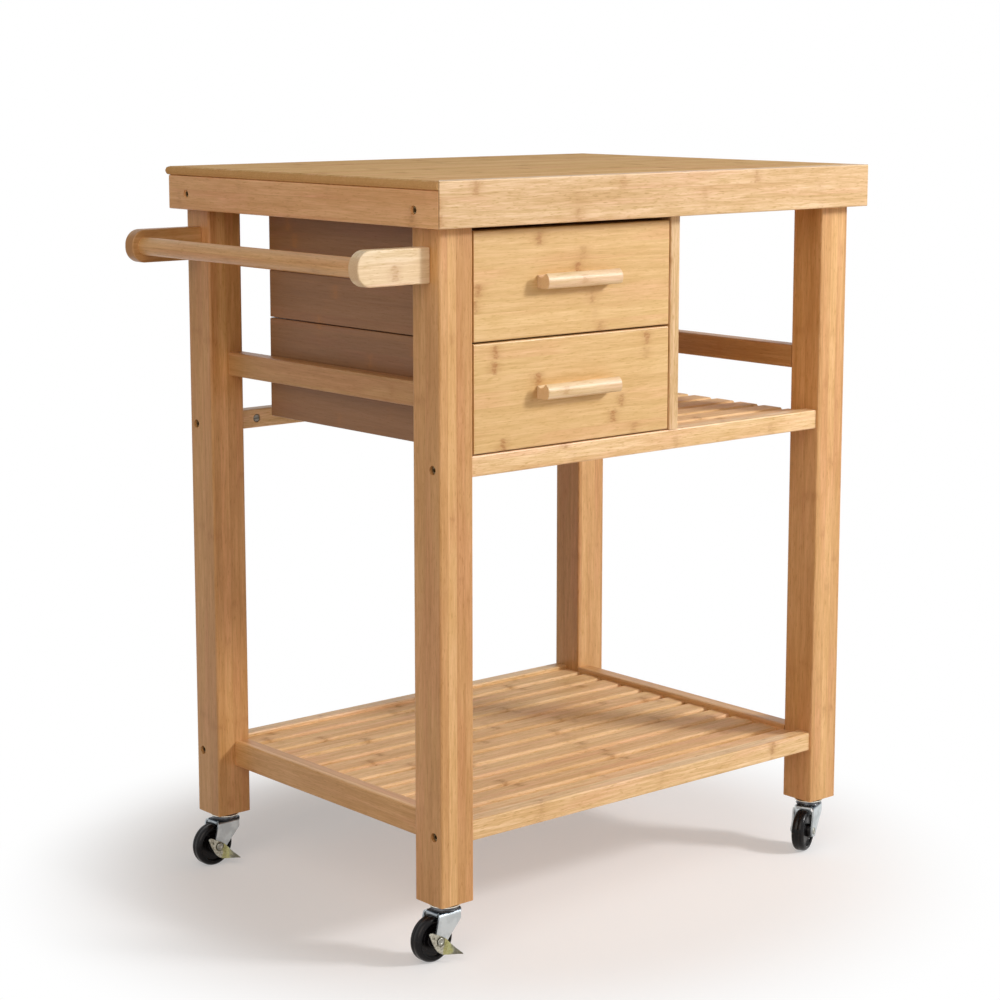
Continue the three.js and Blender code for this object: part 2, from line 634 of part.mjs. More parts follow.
// An arm runs out from the leg and ends in a round nose, with a blind socket for the dowel.
function towelArm(end) {
  const y = ARM_HEIGHT / 2;
  const noseX = -ARM_LENGTH + ARM_END_RADIUS;
  const side = new THREE.Shape();
  side.moveTo(0, -y);
  side.lineTo(0, y);
  side.absarc(noseX, y - ARM_END_RADIUS, ARM_END_RADIUS, Math.PI / 2, Math.PI, false);
  side.absarc(noseX, -y + ARM_END_RADIUS, ARM_END_RADIUS, Math.PI, 1.5 * Math.PI, false);
  const arm = prism(side, ARM_THICKNESS, CURVE_DIVISIONS).applyMatrix4(ALONG_Y);
  const socket = rodAlongY(
    DOWEL_DIAMETER + 2 * FIT_GAP, 2 * DOWEL_SOCKET,
    -DOWEL_REACH, -end * ARM_THICKNESS / 2, 0, TURNED_FACETS,
  );
  return cut(arm, [socket]);
}

function addTowelBar(body) {
  for (const [endName, end] of ENDS) {
    place(body, `towel_arm_${endName}`, towelArm(end), bamboo, -legOuterX, end * legY, armCentre);
  }
  const length = 2 * legY - ARM_THICKNESS + 2 * (DOWEL_SOCKET - FIT_GAP);
  const dowel = rodAlongY(DOWEL_DIAMETER, length, 0, 0, 0, TURNED_FACETS);
  place(body, 'towel_dowel', dowel, bamboo, -legOuterX - DOWEL_REACH, 0, armCentre);
}

// ---------------------------------------------------------------- casters
//
// A caster is built round its swivel axis, trailing along +X, with the floor at z = 0.

// Stem, upper race and kingpin: turned as one, with the rivet head under the fork's dome.
function casterStem() {
  const discUnder = CASTER_HEIGHT - RACE_SHEET;
  const rimUnder = CASTER_HEIGHT - RACE_RIM;
  const raceRadius = RACE_DIAMETER / 2;
  const rivetTop = FORK_TOP + DOME_SHEET / 2;
  const stemRadius = STEM_DIAMETER / 2;
  return turned([
    [0, rivetTop - RIVET_HEIGHT],
    [RIVET_DIAMETER / 2 - CHAMFER, rivetTop - RIVET_HEIGHT],
    [RIVET_DIAMETER / 2, rivetTop - RIVET_HEIGHT + CHAMFER],
    [RIVET_DIAMETER / 2, rivetTop],
    [KINGPIN_DIAMETER / 2, rivetTop],
    [KINGPIN_DIAMETER / 2, discUnder],
    [raceRadius - RACE_SHEET, discUnder],
    [raceRadius - RACE_SHEET, rimUnder],
    [raceRadius, rimUnder],
    [raceRadius, CASTER_HEIGHT - RACE_SHEET / 2],
    [raceRadius - RACE_SHEET / 2, CASTER_HEIGHT],
    [stemRadius, CASTER_HEIGHT],
    [stemRadius, CASTER_HEIGHT + STEM_LENGTH - CHAMFER],
    [stemRadius - CHAMFER, CASTER_HEIGHT + STEM_LENGTH],
    [0, CASTER_HEIGHT + STEM_LENGTH],
  ]);
}

// The fork is folded from one sheet. Its U section, run along the trail, is trimmed by its
// side outline and by its plan, then the rolled front lip and the lower race are joined on.
function fork() {
  const front = TRAIL + FORK_FOOT_RADIUS;
  const middle = forkInner + FORK_SHEET / 2;
  const sheetZ = FORK_TOP - FORK_SHEET / 2;
  const sectionLine = new THREE.Path();
  sectionLine.moveTo(-middle, 0);
  sectionLine.lineTo(-middle, sheetZ - FORK_BEND);
  sectionLine.absarc(-middle + FORK_BEND, sheetZ - FORK_BEND, FORK_BEND, Math.PI, Math.PI / 2, true);
  sectionLine.absarc(middle - FORK_BEND, sheetZ - FORK_BEND, FORK_BEND, Math.PI / 2, 0, true);
  sectionLine.lineTo(middle, 0);
  const folded = prism(stripShape(sectionLine, FORK_SHEET), 4 * front).applyMatrix4(ALONG_X);

  const sideOutline = new THREE.Shape();
  sideOutline.moveTo(front, FORK_TOP);
  sideOutline.lineTo(-FORK_HEEL, FORK_TOP);
  sideOutline.lineTo(-FORK_HEEL, FORK_TOP - FORK_HEEL_DEPTH);
  const slant = Math.atan2(FORK_TOP - FORK_HEEL_DEPTH - axleHeight, TRAIL + FORK_HEEL);
  const slantLength = Math.hypot(FORK_TOP - FORK_HEEL_DEPTH - axleHeight, TRAIL + FORK_HEEL);
  const tangent = 1.5 * Math.PI - slant - Math.asin(FORK_FOOT_RADIUS / slantLength);
  sideOutline.absarc(TRAIL, axleHeight, FORK_FOOT_RADIUS, tangent, 2 * Math.PI, false);
  const trimmedSide = prism(sideOutline, 4 * forkOuter, CURVE_DIVISIONS).applyMatrix4(ALONG_Y);

  const plan = new THREE.Shape();
  const corner = FORK_HEEL_CORNER;
  plan.moveTo(front, forkOuter);
  plan.lineTo(-FORK_HEEL + corner, forkOuter);
  plan.absarc(-FORK_HEEL + corner, forkOuter - corner, corner, Math.PI / 2, Math.PI, false);
  plan.absarc(-FORK_HEEL + corner, -forkOuter + corner, corner, Math.PI, 1.5 * Math.PI, false);
  plan.lineTo(front, -forkOuter);
  const trimmedPlan = prism(plan, 4 * FORK_TOP, 2 * CORNER_DIVISIONS);

  const lipLine = new THREE.Path();
  const lipX = front - FORK_SHEET / 2;
  lipLine.moveTo(lipX - 2 * FORK_BEND, sheetZ);
  lipLine.lineTo(lipX - FORK_BEND, sheetZ);
  lipLine.absarc(lipX - FORK_BEND, sheetZ - FORK_BEND, FORK_BEND, Math.PI / 2, 0, true);
  lipLine.lineTo(lipX, FORK_TOP - FORK_LIP);
  const lip = prism(stripShape(lipLine, FORK_SHEET), 2 * forkInner + FORK_SHEET).applyMatrix4(ALONG_Y);

  const domeRadius = DOME_DIAMETER / 2;
  const domeTop = CASTER_HEIGHT - RACE_SHEET - FIT_GAP;
  const dome = turned([
    [0, sheetZ],
    [domeRadius, sheetZ],
    [domeRadius, domeTop - CHAMFER],
    [domeRadius - CHAMFER, domeTop],
    [0, domeTop],
  ]);
  const hollow = turned([
    [0, FORK_TOP - 2 * FORK_SHEET],
    [domeRadius - DOME_SHEET, FORK_TOP - 2 * FORK_SHEET],
    [domeRadius - DOME_SHEET, domeTop - DOME_SHEET],
    [0, domeTop - DOME_SHEET],
  ]);
  const pinHole = rodAlongZ(KINGPIN_DIAMETER + 4 * FIT_GAP, 2 * CASTER_HEIGHT);
  const axleHole = rodAlongY(AXLE_DIAMETER + 2 * FIT_GAP, 4 * forkOuter, TRAIL, 0, axleHeight);
  const sheet = common(folded, [trimmedSide, trimmedPlan]);
  return cut(join(sheet, [lip, dome]), [hollow, pinHole, axleHole]);
}

// The axle's heads lie outside the fork, and outside the brake lever where there is one.
function axle(brake) {
  const outer = (brake ? leverOuter : forkOuter) + FIT_GAP;
  const inner = -forkOuter - FIT_GAP;
  const headRadius = AXLE_HEAD_DIAMETER / 2;
  return turned([
    [0, inner - AXLE_HEAD_HEIGHT],
    [headRadius - CHAMFER, inner - AXLE_HEAD_HEIGHT],
    [headRadius, inner - AXLE_HEAD_HEIGHT + CHAMFER],
    [headRadius, inner],
    [axleRadius, inner],
    [axleRadius, outer],
    [headRadius, outer],
    [headRadius, outer + AXLE_HEAD_HEIGHT - CHAMFER],
    [headRadius - CHAMFER, outer + AXLE_HEAD_HEIGHT],
    [0, outer + AXLE_HEAD_HEIGHT],
  ], TURNED_FACETS / 2).rotateX(-Math.PI / 2);
}

// The wheel's rim has round shoulders, its sides are dished and its hub stands proud.
function wheel() {
  const half = WHEEL_TREAD / 2;
  const radius = WHEEL_DIAMETER / 2;
  const web = half - WHEEL_DISH;
  const hub = WHEEL_HUB_WIDTH / 2;
  const bore = axleRadius + FIT_GAP;
  const shoulders = new THREE.Path();
  shoulders.absarc(radius - WHEEL_SHOULDER, -half + WHEEL_SHOULDER, WHEEL_SHOULDER, -Math.PI / 2, 0, false);
  shoulders.absarc(radius - WHEEL_SHOULDER, half - WHEEL_SHOULDER, WHEEL_SHOULDER, 0, Math.PI / 2, false);
  const rimProfile = shoulders.getPoints(CORNER_DIVISIONS).map((point) => [point.x, point.y]);
  const innerRim = radius - WHEEL_RIM;
  return turned([
    [bore, -hub],
    [WHEEL_HUB_RADIUS - CHAMFER, -hub],
    [WHEEL_HUB_RADIUS, -web],
    [innerRim, -web],
    ...rimProfile,
    [innerRim, web],
    [WHEEL_HUB_RADIUS, web],
    [WHEEL_HUB_RADIUS - CHAMFER, hub],
    [bore, hub],
    [bore, -hub],
  ], WHEEL_FACETS).rotateX(-Math.PI / 2);
}

// The lever is a bent strip trimmed to a leaf outline. It turns on the axle, at its origin.
function brakeLever() {
  const tabAngle = THREE.MathUtils.degToRad(LEVER_TAB_ANGLE);
  const middle = leverInner + LEVER_SHEET / 2;
  const bendX = -LEVER_FOLD;
  const tabX = -LEVER_TAB_LENGTH * Math.cos(tabAngle);
  const tabY = LEVER_TAB_LENGTH * Math.sin(tabAngle);
  const line = new THREE.Path();
  line.moveTo(2 * LEVER_TIP_REACH, middle);
  line.lineTo(bendX, middle);
  line.absarc(bendX, middle + LEVER_BEND, LEVER_BEND, 1.5 * Math.PI, 1.5 * Math.PI - tabAngle, true);
  line.lineTo(bendX + 2 * tabX, middle + 2 * tabY);
  const strip = prism(stripShape(line, LEVER_SHEET), 8 * LEVER_DROP);

  const leaf = new THREE.Shape();
  const tipX = bendX + tabX;
  const heelZ = LEVER_TIP_RISE - LEVER_CORNER;
  leaf.moveTo(LEVER_TIP_REACH, LEVER_TIP_RISE);
  leaf.quadraticCurveTo(0, LEVER_BROW_RISE, bendX, LEVER_FOLD_RISE);
  leaf.lineTo(tipX, LEVER_CORNER - LEVER_DROP);
  leaf.quadraticCurveTo(tipX, -LEVER_DROP, tipX + LEVER_CORNER, -LEVER_DROP);
  leaf.lineTo(bendX + LEVER_BEND, -LEVER_DROP);
  leaf.quadraticCurveTo(LEVER_HEEL_REACH, LEVER_CORNER - LEVER_DROP, LEVER_TIP_REACH + LEVER_HEEL_WIDTH, heelZ);
  const outline = prism(leaf, 8 * leverOuter, CURVE_DIVISIONS).applyMatrix4(ALONG_Y);
  const hole = rodAlongY(AXLE_DIAMETER + 2 * FIT_GAP, 8 * leverOuter);
  const lever = cut(common(strip, [outline]), [hole]);
  return lever.rotateY(THREE.MathUtils.degToRad(-LEVER_REST_TURN));
}

function addCasters(cart) {
  for (const { name, side, end, trails, brake } of CASTERS) {
    const caster = new THREE.Group();
    caster.position.set(side * legX, end * legY, 0);
    caster.rotation.z = THREE.MathUtils.degToRad(trails);
    cart.add(caster);
    place(caster, `caster_${name}_stem`, casterStem(), steel);
    place(caster, `caster_${name}_fork`, fork(), zinc);
    place(caster, `caster_${name}_axle`, axle(brake), steel, TRAIL, 0, axleHeight);
    place(caster, `caster_${name}_wheel`, wheel(), blackPlastic, TRAIL, 0, axleHeight);
    if (brake) {
      place(caster, `caster_${name}_brake`, brakeLever(), passivated, TRAIL, 0, axleHeight);
    }
  }
}

// ---------------------------------------------------------------- assembly

// The towel bar reaches out on the left only, so the woodwork is set to the right of the
// origin by half of what it adds to the length.
const barReach = legOuterX + ARM_LENGTH;
const cart = new THREE.Group();
cart.position.x = (barReach - panelLength / 2) / 2;

const body = new THREE.Group();
body.position.z = CASTER_HEIGHT;
cart.add(body);
addLegs(body);
addWorktop(body);
addRails(body);
addShelves(body);
addDivider(body);
addDrawers(body);
addTowelBar(body);
addCasters(cart);

const group = new THREE.Group();
group.add(cart);

export default group;
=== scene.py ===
import json
import math
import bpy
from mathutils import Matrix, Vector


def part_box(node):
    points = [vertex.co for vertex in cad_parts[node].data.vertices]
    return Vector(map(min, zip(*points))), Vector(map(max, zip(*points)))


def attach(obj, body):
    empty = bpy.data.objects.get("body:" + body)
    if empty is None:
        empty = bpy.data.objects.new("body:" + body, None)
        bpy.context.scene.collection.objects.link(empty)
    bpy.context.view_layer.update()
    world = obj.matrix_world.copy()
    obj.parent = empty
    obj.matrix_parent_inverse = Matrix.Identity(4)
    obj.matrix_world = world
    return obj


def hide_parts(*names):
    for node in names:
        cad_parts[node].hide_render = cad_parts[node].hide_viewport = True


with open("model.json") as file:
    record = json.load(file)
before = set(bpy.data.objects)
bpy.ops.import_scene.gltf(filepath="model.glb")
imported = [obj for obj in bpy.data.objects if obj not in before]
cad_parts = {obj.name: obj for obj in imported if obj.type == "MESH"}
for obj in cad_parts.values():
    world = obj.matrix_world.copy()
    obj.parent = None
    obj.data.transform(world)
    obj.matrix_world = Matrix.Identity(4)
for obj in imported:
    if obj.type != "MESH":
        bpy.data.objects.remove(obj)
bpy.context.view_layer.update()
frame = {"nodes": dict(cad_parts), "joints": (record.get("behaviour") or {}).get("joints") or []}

from fnmatch import fnmatch

import bmesh
import bpy
from bpy.props import FloatProperty, FloatVectorProperty, IntProperty, PointerProperty
from mathutils import Matrix, Vector

bl_info = {
    "name": "Bamboo Kitchen Trolley",
    "version": (1, 0, 0),
    "blender": (4, 5, 0),
    "location": "View3D > Sidebar > Trolley",
    "description": "Finishes a bamboo kitchen trolley: laminated bamboo, zinc casters, bolts and a studio",
    "category": "Object",
}

DRAWERS = ("drawer_upper", "drawer_lower")
CORNERS = ("front_left", "rear_left", "front_right", "rear_right")
BRAKED = ("front_left", "rear_left")
MM = 0.001


# ------------------------------------------------------------------ settings

def colour(name, description, default):
    return FloatVectorProperty(
        name=name, description=description, subtype="COLOR", default=default, min=0, max=1)


def length(name, description, default, **limits):
    return FloatProperty(name=name, description=description, unit="LENGTH", default=default, **limits)


def place(name, description, default):
    return FloatVectorProperty(name=name, description=description, subtype="TRANSLATION", default=default)


def amount(name, description, default, **kind):
    return FloatProperty(name=name, description=description, default=default, **kind)


class BambooSettings(bpy.types.PropertyGroup):
    """Colours of the pale and the dark strips in each finish, some lightened as painted light and some darkened
    as painted shade, and how the boards are laminated.
    """
    board_colour: colour("Board colour", "Pale strips of fascias, divider and battens", (0.79, 0.57, 0.335))
    board_shade: colour("Board shade", "Dark strips of fascias, divider and battens", (0.655, 0.425, 0.21))
    leg_colour: colour("Leg colour", "Pale strips of legs, side rails and dowel", (0.785, 0.488, 0.22))
    leg_shade: colour("Leg shade", "Dark strips of legs, side rails and dowel", (0.615, 0.335, 0.135))
    drawer_colour: colour("Drawer colour", "Pale strips of the drawer fronts", (0.79, 0.55, 0.265))
    drawer_shade: colour("Drawer shade", "Dark strips of the drawer fronts", (0.69, 0.445, 0.195))
    # The inner colours are darkened as a painted shade inside the drawers.
    inner_colour: colour("Inner colour", "Pale strips inside the drawers", (0.34, 0.175, 0.075))
    inner_shade: colour("Inner shade", "Dark strips inside the drawers", (0.28, 0.135, 0.053))
    # The guard colours are a darker copy of the leg colours, as painted shade on the guard rails and rear arm.
    guard_colour: colour("Guard colour", "Pale strips of guard rails and rear arm", (0.62, 0.37, 0.165))
    guard_shade: colour("Guard shade", "Dark strips of guard rails and rear arm", (0.48, 0.255, 0.10))
    # The side colours are a redder, brighter copy of the board colours, as painted light on the side aprons.
    side_colour: colour("Side colour", "Pale strips of the side aprons", (0.90, 0.56, 0.285))
    side_shade: colour("Side shade", "Dark strips of the side aprons", (0.78, 0.425, 0.185))
    top_colour: colour("Top colour", "Pale strips of the worktop panel", (0.86, 0.60, 0.305))
    top_shade: colour("Top shade", "Dark strips of the worktop panel", (0.74, 0.465, 0.205))
    # The rail colours are a brighter copy of the board colours, as painted light on the rails.
    rail_colour: colour("Rail colour", "Pale strips of front and rear rails", (0.89, 0.65, 0.375))
    rail_shade: colour("Rail shade", "Dark strips of front and rear rails", (0.77, 0.51, 0.255))
    # The slat colours are paler partly as a painted sheen on the slats' tops.
    slat_colour: colour("Slat colour", "Pale strips of the slats", (0.93, 0.66, 0.375))
    slat_shade: colour("Slat shade", "Dark strips of the slats", (0.80, 0.51, 0.265))
    pull_colour: colour("Pull colour", "Pale strips of the pulls", (0.87, 0.70, 0.465))
    pull_shade: colour("Pull shade", "Dark strips of the pulls", (0.77, 0.57, 0.345))
    # The arm colours are a paler copy, as painted light on the front arm.
    arm_colour: colour("Arm colour", "Pale strips of the front towel arm", (0.95, 0.82, 0.60))
    arm_shade: colour("Arm shade", "Dark strips of the front towel arm", (0.86, 0.68, 0.45))
    node_colour: colour("Node colour", "Culm nodes across a strip", (0.43, 0.19, 0.055))
    strip_width: length("Strip width", "Width of one strip on a board's broad face", 0.019, min=0.004)
    ply_thickness: length("Ply thickness", "Thickness of one strip on a narrow face", 0.0085, min=0.002)
    node_spacing: length("Node spacing", "Distance between the culm nodes along a strip", 0.19, min=0.05)


class SlatSettings(bpy.types.PropertyGroup):
    """Sizes of the slats, their battens and the towel arms."""
    width: length("Slat width", "Width of a slat", 0.031)
    pitch: length("Slat pitch", "From one slat's middle to the next", 0.039)
    thickness: length("Slat thickness", "Thickness of a slat", 0.009)
    rounding: length("Slat rounding", "Round along a slat's edges", 0.002)
    batten_width: length("Batten width", "Width of a batten", 0.018)
    batten_inset: length("Batten inset", "From a shelf's end to its batten", 0.07)
    arm_nose: length("Arm nose", "Radius of a towel arm's round nose", 0.017)


class FittingSettings(bpy.types.PropertyGroup):
    """Sizes of the knock-down fittings."""
    bolt_head: length("Bolt head", "Diameter of a bolt's head", 0.0092)
    socket: length("Socket", "Width across the flats of a bolt's hexagon socket", 0.004)
    head_depth: length("Rail bolt depth", "From the leg's face in to a rail bolt's head", 0.0024)
    apron_head_depth: length("Apron bolt depth", "From the apron's face in to a bolt's head", 0.0022)
    apron_bolt_height: length("Apron bolt height", "From the apron's lower edge to its bolts", 0.0175)
    nut_inset: length("Nut inset", "From a rail's end to its barrel nut", 0.034)


class CasterSettings(bpy.types.PropertyGroup):
    """Sizes and finish of the casters."""
    segments: IntProperty(
        name="Segments", description="Sides of a turned caster part", default=96, min=24, max=192)
    plate_height: length("Caster height", "From the floor to the leg's foot", 0.063)
    wheel_radius: length("Wheel radius", "Radius of the wheel", 0.025)
    tread: length("Tread", "Width of the wheel's tread", 0.0152)
    hub_width: length("Hub width", "Length of the hub", 0.022)
    trail: length("Trail", "From the swivel axis to the axle", 0.019)
    axle_height: length("Axle height", "From the floor to the axle", 0.025)
    race_radius: length("Race radius", "Radius of the upper race", 0.0168)
    fork_top: length("Fork top", "Height of the fork's crown", 0.054)
    fork_inner: length("Fork half width", "From the fork's middle to the inside of a side plate", 0.0114)
    fork_sheet: length("Fork sheet", "Thickness of the fork's sheet", 0.002)
    fork_bend: length("Fork bend", "Radius of the fork's bends", 0.0035)
    foot_radius: length("Foot radius", "Radius of a side plate's foot", 0.0078)
    foot_back: length("Foot back", "How far the foot's round lies behind the axle", 0.002)
    crown_front: length("Crown front", "From the swivel axis to the crown's front edge", 0.0188)
    lip_bend: length("Lip bend", "Radius of the fold at the crown's front", 0.0018)
    heel: length("Heel", "From the swivel axis back to the fork's heel", 0.0155)
    heel_depth: length("Heel depth", "Straight depth of the heel", 0.0062)
    heel_corner: length("Heel corner", "Radius of the heel's corners", 0.008)
    lip_height: length("Lip height", "Depth of the fork's front lip", 0.0036)
    lever_sheet: length("Lever sheet", "Thickness of the brake lever", 0.0015)
    tab_angle_degrees: amount("Tab angle", "How far the lever's foot tab is folded out, in degrees", 45.0)
    boss_height: length("Boss height", "Height of the raised ring round the lever's axle", 0.0005)
    tread_colour: colour("Wheel colour", "Colour of the moulded wheels", (0.004, 0.0036, 0.0045))
    zinc_colour: colour("Zinc colour", "Colour of the plated forks", (0.60, 0.645, 0.66))
    lever_colour: colour("Lever colour", "Colour of the plated brake levers", (0.56, 0.555, 0.47))
    lever_rest_degrees: amount("Lever rest", "How far the lever's tip is raised at rest, in degrees", 8.0)
    lever_tint: colour("Lever tint", "Yellow patches on the brake levers", (0.42, 0.41, 0.13))


class StageSettings(bpy.types.PropertyGroup):
    """Camera, lamps and floor."""
    azimuth: amount("Azimuth", "Turn of the camera from +Y towards +X", math.radians(40.589), subtype="ANGLE")
    pitch: amount("Pitch", "Tilt of the camera below the horizon", math.radians(9.025), subtype="ANGLE")
    lens: amount("Lens", "Focal length in mm", 86.45)
    shift: amount("Shift", "Vertical shift of the lens", -0.05)
    camera_place: place("Camera place", "Where the camera stands", (-1.7897, -2.0973, 0.9328))
    key_place: place("Key place", "Where the key lamp hangs", (1.72, -2.15, 1.75))
    key_size: length("Key size", "Side of the key lamp", 0.45)
    key_power: amount("Key power", "Power of the key lamp", 51.0, unit="POWER")
    fill_place: place("Fill place", "Where the fill lamp hangs", (-2.1, -1.4, 2.0))
    fill_size: length("Fill size", "Side of the fill lamp", 2.4)
    fill_power: amount("Fill power", "Power of the fill lamp", 31.0, unit="POWER")
    soft_place: place("Soft place", "Where the large soft lamp beside the key hangs", (1.8, -2.0, 2.1))
    soft_size: length("Soft size", "Side of the large soft lamp", 2.2)
    soft_power: amount("Soft power", "Power of the large soft lamp", 22.0, unit="POWER")
    ambient: amount("Ambient", "Strength of the light from all around", 0.16)
    ambient_colour: colour("Ambient colour", "Colour of the light from all around", (1.0, 0.88, 0.76))
    floor_colour: colour("Floor colour", "Colour of the floor as it lights the trolley", (0.82, 0.74, 0.66))
    floor_shown: colour("Floor seen", "Colour of the floor as the camera sees it", (0.96, 0.95, 0.97))
    floor_lift: amount("Floor lift", "How far the floor is lifted towards white under the trolley", 0.35)
    fade_start: length("Fade start", "Where the floor starts to fade to white", 0.33)
    fade_end: length("Fade end", "Where the floor is all white", 0.60)


class TrolleySettings(bpy.types.PropertyGroup):
    """Everything that can be set on the trolley."""
    bamboo: PointerProperty(type=BambooSettings, name="Bamboo", description="The boards")
    slats: PointerProperty(type=SlatSettings, name="Slats", description="The slats and the towel arms")
    fittings: PointerProperty(type=FittingSettings, name="Fittings", description="The bolts")
    casters: PointerProperty(type=CasterSettings, name="Casters", description="The casters")
    stage: PointerProperty(type=StageSettings, name="Stage", description="The studio")


def settings():
    return bpy.context.scene.trolley


# ------------------------------------------------------------------ node trees

class Graph:
    """Adds nodes to a shader or geometry tree and wires them up."""

    def __init__(self, tree):
        self.tree = tree

    def put(self, value, socket):
        """Links another node's socket to this one, or sets it to a plain value."""
        if isinstance(value, bpy.types.NodeSocket):
            self.tree.links.new(value, socket)
        else:
            socket.default_value = value

    def add(self, kind, inputs=None, **choices):
        node = self.tree.nodes.new(kind)
        for name, value in choices.items():
            setattr(node, name, value)
        for socket, value in (inputs or {}).items():
            self.put(value, node.inputs[socket])
        return node

    def math(self, operation, *values, clamp=False):
        inputs = dict(enumerate(values))
        return self.add("ShaderNodeMath", inputs, operation=operation, use_clamp=clamp).outputs[0]

    def plus(self, first, second):
        return self.math("ADD", first, second)

    def minus(self, first, second):
        return self.math("SUBTRACT", first, second)

    def times(self, first, second):
        return self.math("MULTIPLY", first, second)

    def ramp(self, value, low, high, to_low=0.0, to_high=1.0):
        inputs = {"Value": value, "From Min": low, "From Max": high, "To Min": to_low, "To Max": to_high}
        return self.add("ShaderNodeMapRange", inputs, interpolation_type="SMOOTHSTEP").outputs["Result"]

    def vector(self, x=0.0, y=0.0, z=0.0):
        return self.add("ShaderNodeCombineXYZ", {0: x, 1: y, 2: z}).outputs[0]

    def parts(self, vector):
        return self.add("ShaderNodeSeparateXYZ", {0: vector}).outputs

    def vector_math(self, operation, *values):
        return self.add("ShaderNodeVectorMath", dict(enumerate(values)), operation=operation).outputs

    def coordinates(self, kind="Object"):
        return self.add("ShaderNodeTexCoord").outputs[kind]

    def section(self):
        """A point's place in its part's own section."""
        return self.add("ShaderNodeAttribute", attribute_name="section").outputs["Vector"]

    def noise(self, place, scale=1.0, detail=2.0, roughness=0.5):
        inputs = {"Vector": place, "Scale": scale, "Detail": detail, "Roughness": roughness}
        return self.add("ShaderNodeTexNoise", inputs).outputs["Fac"]

    def drawn(self, place, along, across, detail=2.0, roughness=0.5):
        """Noise of one scale along X and another across it."""
        scaled = self.vector_math("MULTIPLY", place, (along, across, across))[0]
        return self.noise(scaled, detail=detail, roughness=roughness)

    def dice(self, *cell):
        """The random value and the random colour of a cell."""
        inputs = {"Vector": self.vector(*cell)}
        outputs = self.add("ShaderNodeTexWhiteNoise", inputs, noise_dimensions="3D").outputs
        return outputs["Value"], outputs["Color"]

    def mix(self, share, first, second, blend="MIX"):
        node = self.add("ShaderNodeMix", data_type="RGBA", blend_type=blend)
        for socket, value in ((0, share), (6, first), (7, second)):
            self.put(value, node.inputs[socket])
        return node.outputs[2]


def rgba(colour):
    return (*colour, 1.0)


def add_sockets(tree, in_out, **kinds):
    """Gives a tree named inputs or outputs, listed by their kind."""
    for kind, names in kinds.items():
        for name in names:
            tree.interface.new_socket(name=name, in_out=in_out, socket_type=f"NodeSocket{kind}")


def new_material(name):
    material = bpy.data.materials.new(name)
    material.use_nodes = True
    material.node_tree.nodes.clear()
    graph = Graph(material.node_tree)
    shader = graph.add("ShaderNodeBsdfPrincipled")
    graph.add("ShaderNodeOutputMaterial", {"Surface": shader.outputs[0]})
    return material, graph, shader


def wire(graph, shader, colour, roughness, height, strength, distance=0.2 * MM):
    """Gives a shader its colour, its roughness and its relief."""
    bump = graph.add("ShaderNodeBump", {"Height": height, "Strength": strength, "Distance": distance})
    for socket, value in (("Base Color", colour), ("Roughness", roughness), ("Normal", bump.outputs[0])):
        graph.put(value, shader.inputs[socket])


